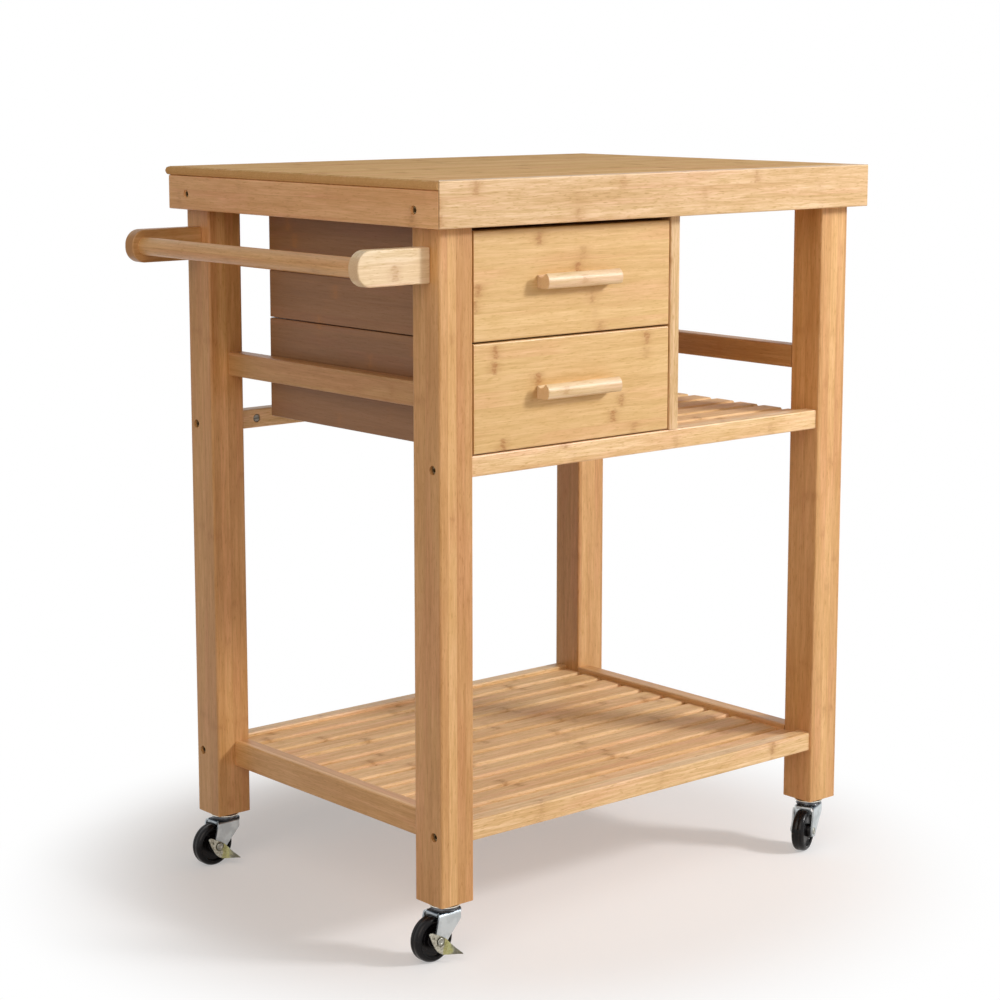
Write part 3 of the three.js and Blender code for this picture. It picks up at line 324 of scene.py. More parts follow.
def laminated_bamboo_group():
    """Glued strips of bamboo: X runs along the grain, Y across the strips, Z through them."""
    name = "Laminated bamboo"
    if name in bpy.data.node_groups:
        return bpy.data.node_groups[name]
    tree = bpy.data.node_groups.new(name, "ShaderNodeTree")
    add_sockets(
        tree, "INPUT", Vector=("Place", "Normal"), Color=("Face Colour", "Shade Colour", "Node Colour"),
        Float=("Strip Width", "Ply Thickness", "Node Spacing", "Strip Contrast", "Ply Contrast",
               "Mark Strength", "Glue Strength", "Grain Contrast"))
    add_sockets(tree, "OUTPUT", Color=("Colour",), Float=("Roughness", "Height"))
    graph = Graph(tree)
    given = graph.add("NodeGroupInput").outputs
    place = given["Place"]
    facing = [graph.math("ABSOLUTE", part) for part in graph.parts(given["Normal"])]

    # Which strip a point is in, looked up a little below the surface, and its random numbers.
    inset = graph.vector_math("MULTIPLY", given["Normal"], (-1.2 * MM,) * 3)[0]
    along, across, through = graph.parts(graph.vector_math("ADD", place, inset)[0])
    strip = graph.math("DIVIDE", across, given["Strip Width"])
    ply = graph.math("DIVIDE", through, given["Ply Thickness"])
    strip_number = graph.math("FLOOR", strip)
    ply_number = graph.math("FLOOR", ply)
    _, dice = graph.dice(strip_number, ply_number, 0.5)
    first, second, _ = graph.parts(dice)
    layer = graph.add("ShaderNodeTexWhiteNoise", {"W": ply_number}, noise_dimensions="1D").outputs["Value"]

    # Tone: one for each strip and each ply, drifting slowly along it.
    own = graph.vector_math("ADD", place, dice)[0]
    drift = graph.ramp(graph.drawn(own, 3.0, 45.0), 0.3, 0.7, -0.15, 0.35)
    tone = graph.math("MULTIPLY_ADD", first, given["Strip Contrast"], drift)
    tone = graph.math("MULTIPLY_ADD", layer, given["Ply Contrast"], tone, clamp=True)
    colour = graph.mix(tone, given["Face Colour"], given["Shade Colour"])

    # Fibres in three sizes, short flecks among them, and pinker stretches.
    fibres = graph.drawn(own, 40.0, 900.0, detail=3.0, roughness=0.6)
    bundles = graph.drawn(own, 26.0, 420.0, detail=3.0, roughness=0.6)
    bands = graph.drawn(own, 7.0, 150.0)
    flecks = graph.drawn(own, 110.0, 760.0)
    blush = graph.ramp(graph.drawn(own, 5.0, 28.0), 0.46, 0.68)
    fine = graph.times(graph.ramp(fibres, 0.3, 0.7, 0.95, 1.04), graph.ramp(bundles, 0.3, 0.7, 0.93, 1.03))
    fine = graph.times(fine, graph.ramp(bands, 0.3, 0.7, 0.95, 1.04))
    fine = graph.times(fine, graph.ramp(flecks, 0.56, 0.74, 1.0, 0.86))
    fine = graph.math("POWER", fine, given["Grain Contrast"])
    tint = graph.vector(
        graph.math("POWER", fine, 0.85),
        graph.times(graph.math("POWER", fine, 1.15), graph.ramp(blush, 0.0, 1.0, 1.0, 0.94)),
        graph.times(graph.math("POWER", fine, 2.1), graph.ramp(blush, 0.0, 1.0, 1.0, 0.98)))
    colour = graph.mix(1.0, colour, tint, "MULTIPLY")

    # How near the glue joints are. A joint doesn't show on the face it lies flat against.
    joints, reaches = [], []
    for count, width, side in (
        (strip, given["Strip Width"], facing[1]), (ply, given["Ply Thickness"], facing[2]),
    ):
        off_middle = graph.math("ABSOLUTE", graph.minus(graph.math("FRACT", count), 0.5))
        to_joint = graph.times(graph.minus(0.5, off_middle), width)
        shown = graph.ramp(side, 0.5, 0.9, 1.0, 0.0)
        joints.append(graph.times(graph.ramp(to_joint, 0.0, 0.55 * MM, 1.0, 0.0), shown))
        reaches.append(graph.plus(to_joint, graph.times(graph.minus(1.0, shown), 50 * MM)))
    glue = graph.math("MAXIMUM", *joints)

    # Culm nodes: soft brown patches across a strip. Strips lie in pairs with close starts.
    pair = graph.math("FLOOR", graph.times(strip_number, 0.5))
    wide, start, _ = graph.parts(graph.dice(pair, ply_number, 7.5)[1])
    spacing = graph.times(given["Node Spacing"], graph.math("MULTIPLY_ADD", wide, 0.5, 0.75))
    own_start = graph.math("MULTIPLY_ADD", start, 9.0, graph.times(second, 0.12))
    run = graph.plus(own_start, graph.math("DIVIDE", along, spacing))
    nearest = graph.math("ROUND", run)
    signed = graph.times(graph.minus(run, nearest), spacing)
    ragged = graph.drawn(place, 110.0, 210.0, detail=4.0, roughness=0.65)
    off = graph.minus(ragged, 0.5)
    edge = graph.math("ABSOLUTE", graph.math("MULTIPLY_ADD", off, 17 * MM, signed))
    luck, _ = graph.dice(strip_number, ply_number, nearest)
    strength = graph.ramp(luck, 0.1, 0.95, 0.2, 1.0)
    core = graph.ramp(edge, 0.8 * MM, 5.6 * MM, 1.0, 0.0)
    halo = graph.ramp(edge, 1 * MM, 15 * MM, 0.36, 0.0)
    mottle = graph.ramp(graph.drawn(place, 170.0, 560.0, detail=3.0), 0.36, 0.62, 0.25, 1.0)
    frayed = graph.math("MULTIPLY_ADD", off, 6 * MM, graph.math("MINIMUM", *reaches))
    mark = graph.math("MULTIPLY_ADD", graph.times(core, mottle), 0.55, halo)
    mark = graph.times(mark, graph.ramp(frayed, 0.0, 2.8 * MM, 0.2, 1.0))
    mark = graph.math("MULTIPLY", mark, graph.times(strength, given["Mark Strength"]), clamp=True)
    colour = graph.mix(mark, colour, given["Node Colour"])
    colour = graph.mix(graph.times(glue, given["Glue Strength"]), colour, given["Node Colour"])

    # End grain: darker, dotted with cut fibre bundles.
    cut_end = graph.ramp(facing[0], 0.7, 0.9)
    dots = graph.ramp(graph.drawn(place, 30.0, 1500.0, detail=1.0), 0.35, 0.65, 0.05, 0.4)
    ends = graph.mix(dots, given["Shade Colour"], given["Node Colour"])
    colour = graph.mix(graph.times(cut_end, 0.8), colour, ends)

    rough = graph.plus(graph.ramp(fibres, 0.3, 0.7, 0.38, 0.46), graph.times(cut_end, 0.18))
    height = graph.minus(fibres, graph.times(glue, 0.6))
    graph.add("NodeGroupOutput", {"Colour": colour, "Roughness": rough, "Height": height})
    return tree


# Board axes in the order along the grain, across the strips, through the strips.
GRAIN_AXES = {"x_upright": "XZY", "x_flat": "XYZ", "y_upright": "YZX", "y_flat": "YXZ", "z_upright": "ZYX"}

# Strip contrast, ply contrast, mark strength, glue strength and grain contrast of each finish.
FINISHES = {
    "board": (0.40, 0.25, 0.85, 0.12, 1.9),
    "leg": (0.20, 0.85, 0.50, 0.22, 1.5),
    "drawer": (0.25, 0.10, 1.0, 0.05, 1.15),
    "inner": (0.40, 0.20, 0.8, 0.12, 1.2),
    "guard": (0.20, 0.85, 0.50, 0.22, 1.4),
    "side": (0.40, 0.25, 0.85, 0.12, 1.5),
    "top": (0.40, 0.25, 0.85, 0.12, 1.5),
    "rail": (0.40, 0.25, 0.85, 0.12, 1.8),
    "slat": (0.55, 0.30, 0.85, 0.12, 1.4),
    "pull": (0.55, 0.30, 0.75, 0.12, 1.2),
    "arm": (0.55, 0.30, 0.75, 0.12, 1.3),
}


def bamboo(finish, grain, strip=None, ply=None, shift=(0.0, 0.0, 0.0), shine=0.5, dull=0.0):
    """The bamboo of one finish, which starts with a name in FINISHES, with its grain one way."""
    name = f"bamboo_{finish}_{grain}"
    if name in bpy.data.materials:
        return bpy.data.materials[name]
    look = settings().bamboo
    kind = finish.split("_")[0]
    strip_contrast, ply_contrast, marks, glue, grain_contrast = FINISHES[kind]
    material, graph, shader = new_material(name)
    turned = []
    for source in ("Object", "Normal"):
        split = graph.parts(graph.coordinates(source))
        turned.append(graph.vector(*(split[axis] for axis in GRAIN_AXES[grain])))
    place = graph.add("ShaderNodeMapping", {"Vector": turned[0], "Location": shift}).outputs[0]
    wood = graph.add("ShaderNodeGroup", node_tree=laminated_bamboo_group())
    for socket, value in (
        ("Place", place), ("Normal", turned[1]),
        ("Strip Width", strip or look.strip_width), ("Ply Thickness", ply or look.ply_thickness),
        ("Node Spacing", look.node_spacing), ("Strip Contrast", strip_contrast),
        ("Ply Contrast", ply_contrast), ("Mark Strength", marks), ("Glue Strength", glue),
        ("Grain Contrast", grain_contrast), ("Face Colour", rgba(getattr(look, f"{kind}_colour"))),
        ("Shade Colour", rgba(getattr(look, f"{kind}_shade"))), ("Node Colour", rgba(look.node_colour)),
    ):
        graph.put(value, wood.inputs[socket])
    rough = graph.plus(wood.outputs["Roughness"], dull)
    wire(graph, shader, wood.outputs["Colour"], rough, wood.outputs["Height"], 0.12, 0.3 * MM)
    shader.inputs["Specular IOR Level"].default_value = shine
    return material


# Colour, second tone, lowest and highest roughness, and patch scale of each plain metal.
METALS = {
    # The race steel's dark tones are a painted shade on the race's side.
    "race_steel": ((0.13, 0.135, 0.145), (0.075, 0.078, 0.085), 0.22, 0.34, 90.0),
    "turned_steel": ((0.52, 0.53, 0.53), (0.42, 0.42, 0.42), 0.22, 0.34, 90.0),
    "axle_steel": ((0.40, 0.40, 0.36), (0.26, 0.26, 0.22), 0.3, 0.42, 260.0),
    "dull_steel": ((0.24, 0.215, 0.18), (0.15, 0.13, 0.105), 0.34, 0.48, 90.0),
    "bronzed_bolt": ((0.26, 0.19, 0.10), (0.15, 0.105, 0.05), 0.3, 0.42, 240.0),
}
# A pale painted highlight along the rim of a turned part.
PAINTED_RIM_HIGHLIGHT = (0.80, 0.76, 0.66, 1.0)
# A bluish painted shade on the forks' tops and on their faces turned towards -X.
PAINTED_SHADE_TONE = (0.16, 0.19, 0.24)
LEVER_GREY = (0.19, 0.18, 0.13, 1.0)
# Dark zinc for the tab's end, and for the painted shade round the axle.
LEVER_DARK = (0.11, 0.10, 0.065, 1.0)


def plated_metal(name, look=None, painted_shade=None, rim=None):
    """Plated steel: two close tones in soft patches, with a fine drawn texture.

    Look is a row like those in METALS, and the one there is used if it isn't given.
    The third argument is a painted shade: what the tone of faces turned upwards, and partly of those turned to
    the trail, is multiplied by.
    Rim is the radius past which a turned part is pale, as a painted highlight.
    """
    if name in bpy.data.materials:
        return bpy.data.materials[name]
    tone, tint, low, high, patch = look or METALS[name]
    material, graph, shader = new_material(name)
    place = graph.coordinates()
    patches = graph.ramp(graph.noise(place, patch, 2.0), 0.4, 0.64)
    fine = graph.noise(place, 1400.0, 2.0)
    plating = graph.mix(patches, rgba(tone), rgba(tint))
    if painted_shade:
        # Painted shade: faces turned upwards, and partly those whose normal points towards -X, are multiplied
        # darker.
        facing = graph.parts(graph.coordinates("Normal"))
        shaded_share = graph.ramp(facing[2], 0.1, 0.8)
        shaded_share = graph.math("MAXIMUM", shaded_share, graph.ramp(facing[0], -0.7, -0.98, 0.0, 0.45))
        plating = graph.mix(shaded_share, plating, graph.mix(1.0, plating, rgba(painted_shade), "MULTIPLY"))
    if rim:
        # Past the rim's radius, a pale painted highlight.
        reach = graph.parts(graph.section())[0]
        plating = graph.mix(graph.ramp(reach, rim - 0.3 * MM, rim + 0.3 * MM), plating, PAINTED_RIM_HIGHLIGHT)
    shader.inputs["Metallic"].default_value = 1.0
    rough = graph.plus(graph.ramp(patches, 0.0, 1.0, low, high), graph.times(fine, 0.03))
    wire(graph, shader, plating, rough, fine, 0.03)
    return material


def moulded_plastic(name, colour):
    """Glossy black moulded plastic with fine turned rings, a satin texture and pale painted highlights along
    the rings in patches.
    """
    if name in bpy.data.materials:
        return bpy.data.materials[name]
    material, graph, shader = new_material(name)
    place = graph.coordinates()
    rings = graph.drawn(graph.section(), 700.0, 1100.0, detail=3.0, roughness=0.7)
    patchy = graph.ramp(graph.noise(place, 220.0, 4.0), 0.35, 0.7)
    # Paler grey along the rings in patches: painted highlights.
    pale = tuple(min(1.0, c * 4.0 + 0.012) for c in colour)
    ring_highlight = graph.times(graph.ramp(patchy, 0.0, 1.0, 0.5, 1.0), graph.ramp(rings, 0.5, 0.68))
    rough = graph.plus(graph.ramp(patchy, 0.0, 1.0, 0.13, 0.2), graph.ramp(rings, 0.35, 0.7, 0.0, 0.1))
    fine = graph.math("MULTIPLY_ADD", rings, 1.5, graph.noise(place, 3500.0, 2.0))
    wire(graph, shader, graph.mix(ring_highlight, rgba(colour), rgba(pale)), rough, fine, 0.1)
    shader.inputs["Specular IOR Level"].default_value = 0.2
    return material


def lever_zinc():
    """The brake levers: mottled zinc, yellower by the fold, darker on the tab, with painted shade round the
    axle and in a dimple.
    """
    look = settings().casters
    name = "lever_zinc"
    if name in bpy.data.materials:
        return bpy.data.materials[name]
    material, graph, shader = new_material(name)
    place, section = graph.coordinates(), graph.section()
    x = graph.parts(section)[0]
    mottle = graph.ramp(graph.noise(place, 420.0, 3.0), 0.38, 0.66)
    clouds = graph.noise(place, 150.0, 2.0)
    plating = graph.mix(graph.times(mottle, 0.75), rgba(look.lever_colour), LEVER_GREY)
    wavy = graph.math("MULTIPLY_ADD", graph.minus(clouds, 0.5), 8 * MM, x)
    yellow = graph.times(graph.ramp(wavy, -3.5 * MM, -6 * MM), graph.ramp(wavy, -16.5 * MM, -13 * MM))
    plating = graph.mix(graph.times(yellow, 0.7), plating, rgba(look.lever_tint))
    plating = graph.mix(graph.ramp(wavy, -12.5 * MM, -17 * MM, 0.0, 0.8), plating, LEVER_DARK)
    # Painted shade in the crevice round the axle's rivet head and in a dimple, in patches.
    from_axle = graph.vector_math("LENGTH", section)["Value"]
    off_ring = graph.math("ABSOLUTE", graph.minus(from_axle, 5.2 * MM))
    ring = graph.ramp(off_ring, 0.3 * MM, 1.1 * MM, 1.0, 0.0)
    apart = graph.vector_math("DISTANCE", section, (9.8 * MM, 4.2 * MM, 0.0))["Value"]
    dimple = graph.ramp(apart, 0.9 * MM, 1.7 * MM, 1.0, 0.0)
    painted_crevice_shade = graph.times(graph.math("MAXIMUM", ring, dimple), graph.ramp(clouds, 0.3, 0.6, 0.45, 0.9))
    plating = graph.mix(painted_crevice_shade, plating, LEVER_DARK)
    shader.inputs["Metallic"].default_value = 1.0
    height = graph.minus(graph.times(mottle, 0.4), painted_crevice_shade)
    wire(graph, shader, plating, graph.ramp(mottle, 0.0, 1.0, 0.26, 0.4), height, 0.3)
    return material


# ------------------------------------------------------------------ shaping

def from_mm(points, origin=(0.0, 0.0)):
    """Points given in mm from an origin in metres."""
    return [(origin[0] + x * MM, origin[1] + z * MM) for x, z in points]


def arc(centre, radius, start, end, steps=8):
    """Points on an arc, angles in degrees."""
    points = []
    for i in range(steps + 1):
        angle = math.radians(start + (end - start) * i / steps)
        points.append((centre[0] + radius * math.cos(angle), centre[1] + radius * math.sin(angle)))
    return points


def bend(start, control, end, steps=8):
    """Points on a quadratic curve, without its first."""
    points = []
    for i in range(1, steps + 1):
        t = i / steps
        a, b, c = (1 - t) ** 2, 2 * t * (1 - t), t ** 2
        points.append(tuple(a * p + b * q + c * r for p, q, r in zip(start, control, end)))
    return points


def eased(points, radius, steps=3, straight=172):
    """The open line with a small round at each of its inner corners, apart from the nearly straight ones."""
    result = [points[0]]
    for before, corner, after in zip(points, points[1:], points[2:]):
        p, q, r = Vector(before), Vector(corner), Vector(after)
        one, other = p - q, r - q
        reach = min(radius, 0.45 * one.length, 0.45 * other.length)
        if reach < 1e-6 or one.angle(other) > math.radians(straight):
            result.append(corner)
            continue
        start, end = q + one.normalized() * reach, q + other.normalized() * reach
        result.append(tuple(start))
        result.extend(bend(start, q, end, steps))
    result.append(points[-1])
    return result


def new_piece(name, mesh, material, body, nodes=()):
    """Puts a finished mesh in the scene as a piece that rides on a body."""
    mesh.materials.clear()
    mesh.materials.append(material)
    piece = bpy.data.objects.new(name, mesh)
    bpy.context.scene.collection.objects.link(piece)
    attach(piece, body)
    if nodes:
        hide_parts(*nodes)
    return piece


def to_mesh(name, shape, place=None):
    """A bmesh as a mesh, put in its place, with its faces turned outwards."""
    if place:
        shape.transform(place)
    bmesh.ops.recalc_face_normals(shape, faces=shape.faces)
    mesh = bpy.data.meshes.new(name)
    shape.to_mesh(mesh)
    shape.free()
    mesh.shade_smooth()
    return mesh


def mark_section(shape, where):
    """Keeps each vertex's place in its part's own section as an attribute."""
    layer = shape.verts.layers.float_vector.new("section")
    for vert in shape.verts:
        vert[layer] = where(vert.co)


def ease_edges(piece, width, segments=3, angle=35.0):
    """Rounds the sharp edges of a piece, and keeps its flats flat."""
    rounding = piece.modifiers.new("Eased edges", "BEVEL")
    rounding.width = width
    rounding.segments = segments
    rounding.limit_method = "ANGLE"
    rounding.angle_limit = math.radians(angle)
    rounding.harden_normals = True


def add_turned(shape, profile, segments, closed=False):
    """A body of revolution about Z from (radius, height) pairs, added to the bmesh."""
    rings = []
    for radius, height in profile:
        if radius < 1e-7:
            rings.append([shape.verts.new((0, 0, height))])
            continue
        turns = [2 * math.pi * i / segments for i in range(segments)]
        rings.append([shape.verts.new((radius * math.cos(a), radius * math.sin(a), height)) for a in turns])
    pairs = list(zip(rings, rings[1:]))
    if closed:
        pairs.append((rings[-1], rings[0]))
    for low, high in pairs:
        for i in range(segments):
            j = (i + 1) % segments
            corners = [low[i % len(low)], low[j % len(low)], high[j % len(high)], high[i % len(high)]]
            unique = list(dict.fromkeys(corners))
            if len(unique) > 2:
                shape.faces.new(unique)


def turned_mesh(name, parts, place, sharp=50, closed=False, marked=True):
    """A mesh of parts turned about Z, each a profile and its number of sides."""
    shape = bmesh.new()
    for profile, segments in parts:
        add_turned(shape, profile, segments, closed)
    if marked:
        mark_section(shape, lambda at: (math.hypot(at.x, at.y), at.z, 0.0))
    mesh = to_mesh(name, shape, place)
    mesh.set_sharp_from_angle(angle=math.radians(sharp))
    return mesh


def prism_mesh(name, outline, low, high, axes="xzy"):
    """The outline in the first two axes, run along the third from low to high."""
    shape = bmesh.new()
    order = ["xyz".index(axis) for axis in axes]
    ends = []
    for depth in (low, high):
        ring = []
        for point in outline:
            corner = [0.0, 0.0, 0.0]
            for axis, value in zip(order, (*point, depth)):
                corner[axis] = value
            ring.append(shape.verts.new(corner))
        ends.append(ring)
    count = len(outline)
    for i in range(count):
        j = (i + 1) % count
        shape.faces.new([ends[0][i], ends[0][j], ends[1][j], ends[1][i]])
    shape.faces.new(ends[0])
    shape.faces.new(list(reversed(ends[1])))
    return to_mesh(name, shape)


def add_sheet(shape, rows, thickness):
    """A bent sheet from a grid of points on its middle surface, with square-cut edges."""
    sheet = bmesh.new()
    grid = [[sheet.verts.new(point) for point in row] for row in rows]
    for near, far in zip(grid, grid[1:]):
        for i in range(len(near) - 1):
            sheet.faces.new([near[i], near[i + 1], far[i + 1], far[i]])
    bmesh.ops.remove_doubles(sheet, verts=sheet.verts, dist=1e-6)
    sheet.normal_update()
    middle = {vertex: (vertex.co.copy(), vertex.normal.copy()) for vertex in sheet.verts}
    faces, rim = list(sheet.faces), [edge for edge in sheet.edges if edge.is_boundary]
    twin = {v: sheet.verts.new(co - normal * thickness / 2) for v, (co, normal) in middle.items()}
    for face in faces:
        sheet.faces.new([twin[v] for v in reversed(face.verts)])
    for vertex, (co, normal) in middle.items():
        vertex.co = co + normal * thickness / 2
    for edge in rim:
        a, b = edge.verts
        if edge.link_loops[0].vert is not a:
            a, b = b, a
        sheet.faces.new([b, a, twin[a], twin[b]])
    mesh = bpy.data.meshes.new("sheet")
    sheet.to_mesh(mesh)
    sheet.free()
    shape.from_mesh(mesh)
    bpy.data.meshes.remove(mesh)


# ------------------------------------------------------------------ repeated pieces

def repeat_tree(name, **kinds):
    """A geometry tree with named inputs and without nodes, and its graph."""
    tree = bpy.data.node_groups.new(name, "GeometryNodeTree")
    add_sockets(tree, "INPUT", Geometry=("Geometry",), **kinds, Material=("Material",))
    add_sockets(tree, "OUTPUT", Geometry=("Geometry",))
    return tree, Graph(tree)


def finish_tree(graph, instances, given):
    """Ends a tree with real geometry in one material."""
    real = graph.add("GeometryNodeRealizeInstances", {"Geometry": instances})
    painted = graph.add("GeometryNodeSetMaterial", {"Geometry": real.outputs[0], "Material": given["Material"]})
    graph.add("NodeGroupOutput", {"Geometry": painted.outputs[0]})


def row_of_bars_tree():
    """Equal bars side by side: slats, or the battens under them."""
    name = "Row of bars"
    if name in bpy.data.node_groups:
        return bpy.data.node_groups[name]
    tree, graph = repeat_tree(
        name, Float=("Bar Length", "Bar Width", "Bar Thickness", "Edge Rounding", "Pitch", "Turn"),
        Int=("Count",), Vector=("Middle",))
    given = graph.add("NodeGroupInput").outputs
    half = graph.times(given["Bar Length"], 0.5)
    path = graph.add("GeometryNodeCurvePrimitiveLine", {
        "Start": graph.vector(graph.times(half, -1.0)), "End": graph.vector(half)})
    upright = graph.add("GeometryNodeSetCurveNormal", {"Curve": path.outputs[0]}, mode="Z_UP")
    section = graph.add("GeometryNodeCurvePrimitiveQuadrilateral", {
        "Width": given["Bar Width"], "Height": given["Bar Thickness"]}, mode="RECTANGLE")
    rounded = graph.add("GeometryNodeFilletCurve", {
        "Curve": section.outputs[0], "Radius": given["Edge Rounding"], "Limit Radius": True})
    bar = graph.add("GeometryNodeCurveToMesh", {
        "Curve": upright.outputs[0], "Profile Curve": rounded.outputs[0], "Fill Caps": True})
    run = graph.times(graph.minus(given["Count"], 1.0), given["Pitch"])
    places = graph.add("GeometryNodeMeshLine", {
        "Count": given["Count"], "Start Location": graph.vector(0.0, graph.times(run, -0.5)),
        "Offset": graph.vector(0.0, given["Pitch"])})
    row = graph.add("GeometryNodeInstanceOnPoints", {"Points": places.outputs[0], "Instance": bar.outputs[0]})
    moved = graph.add("GeometryNodeTransform", {
        "Geometry": row.outputs[0], "Translation": given["Middle"],
        "Rotation": graph.vector(0.0, 0.0, given["Turn"])})
    finish_tree(graph, moved.outputs[0], given)
    return tree


def socket_heads_tree(sides=32, rim_share=0.25, rim_taper=0.84):
    """Bolt heads with a hexagon socket, or a slot, on points that say which way they face."""
    name = "Socket heads"
    if name in bpy.data.node_groups:
        return bpy.data.node_groups[name]
    tree, graph = repeat_tree(
        name, Float=("Head Diameter", "Head Height", "Socket Width", "Socket Depth"), Bool=("Slotted",))
    given = graph.add("NodeGroupInput").outputs
    height = given["Head Height"]
    radius = graph.times(given["Head Diameter"], 0.5)
    rim = graph.times(height, rim_share)
    whole = graph.add("GeometryNodeJoinGeometry")
    for top_radius, depth, down in (
        (radius, graph.minus(height, rim), height), (graph.times(radius, rim_taper), rim, rim),
    ):
        part = graph.add("GeometryNodeMeshCone", {
            "Vertices": sides, "Radius Top": top_radius, "Radius Bottom": radius, "Depth": depth})
        lowered = graph.add("GeometryNodeTransform", {
            "Geometry": part.outputs[0], "Translation": graph.vector(0.0, 0.0, graph.times(down, -1.0))})
        graph.tree.links.new(lowered.outputs[0], whole.inputs[0])
    merged = graph.add("GeometryNodeMergeByDistance", {"Geometry": whole.outputs[0], "Distance": 0.01 * MM})
    depth = graph.times(given["Socket Depth"], 2.0)
    hexagon = graph.add("GeometryNodeMeshCylinder", {
        "Vertices": 6, "Radius": graph.math("DIVIDE", given["Socket Width"], math.sqrt(3)), "Depth": depth})
    slot = graph.add("GeometryNodeMeshCube", {
        "Size": graph.vector(graph.times(given["Head Diameter"], 1.2), given["Socket Width"], depth)})
    shapes = {"Switch": given["Slotted"], "False": hexagon.outputs[0], "True": slot.outputs[0]}
    cutter = graph.add("GeometryNodeSwitch", shapes, input_type="GEOMETRY")
    head = graph.add("GeometryNodeMeshBoolean", operation="DIFFERENCE")
    graph.tree.links.new(merged.outputs[0], head.inputs["Mesh 1"])
    graph.tree.links.new(cutter.outputs[0], head.inputs["Mesh 2"])
    facing = graph.add("GeometryNodeInputNamedAttribute", {"Name": "facing"}, data_type="FLOAT_VECTOR")
    turn = graph.add("FunctionNodeAlignRotationToVector", {"Vector": facing.outputs[0]}, axis="Z")
    heads = graph.add("GeometryNodeInstanceOnPoints", {
        "Points": given["Geometry"], "Instance": head.outputs[0], "Rotation": turn.outputs[0]})
    finish_tree(graph, heads.outputs[0], given)
    return tree


def grown(name, tree, values, material, nodes=(), points=()):
    """Runs a geometry tree once and keeps its result as a plain piece of the frame.

    Points are pairs of a place and the way it faces.
    """
    seed = bpy.data.meshes.new(name + "_seed")
    seed.from_pydata([at for at, _ in points], [], [])
    if points:
        facing = seed.attributes.new("facing", "FLOAT_VECTOR", "POINT")
        facing.data.foreach_set("vector", [number for _, way in points for number in way])
    holder = bpy.data.objects.new(name + "_seed", seed)
    bpy.context.scene.collection.objects.link(holder)
    modifier = holder.modifiers.new("Repeat", "NODES")
    modifier.node_group = tree
    sockets = {item.name: item.identifier for item in tree.interface.items_tree if item.in_out == "INPUT"}
    for socket, value in {**values, "Material": material}.items():
        modifier[sockets[socket]] = value
    evaluated = holder.evaluated_get(bpy.context.evaluated_depsgraph_get())
    mesh = bpy.data.meshes.new_from_object(evaluated)
    mesh.name = name
    bpy.data.objects.remove(holder)
    bpy.data.meshes.remove(seed)
    if not mesh.polygons:
        raise RuntimeError(f"{name} came out empty")
    mesh.shade_smooth()
    mesh.set_sharp_from_angle(angle=math.radians(35))
    return new_piece(name, mesh, material, "frame", nodes)


def heads(name, points, metal, slot, diameter, height, socket, depth, slotted=False):
    """The heads of like bolts, nuts or screws as one piece."""
    values = {
        "Head Diameter": diameter, "Head Height": height, "Socket Width": socket, "Socket Depth": depth,
        "Slotted": slotted,
    }
    grown(name, socket_heads_tree(), values, plated_metal(metal), points=points)


# ------------------------------------------------------------------ the trolley's pieces

def low_high(node):
    low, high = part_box(node)
    return Vector(low), Vector(high)


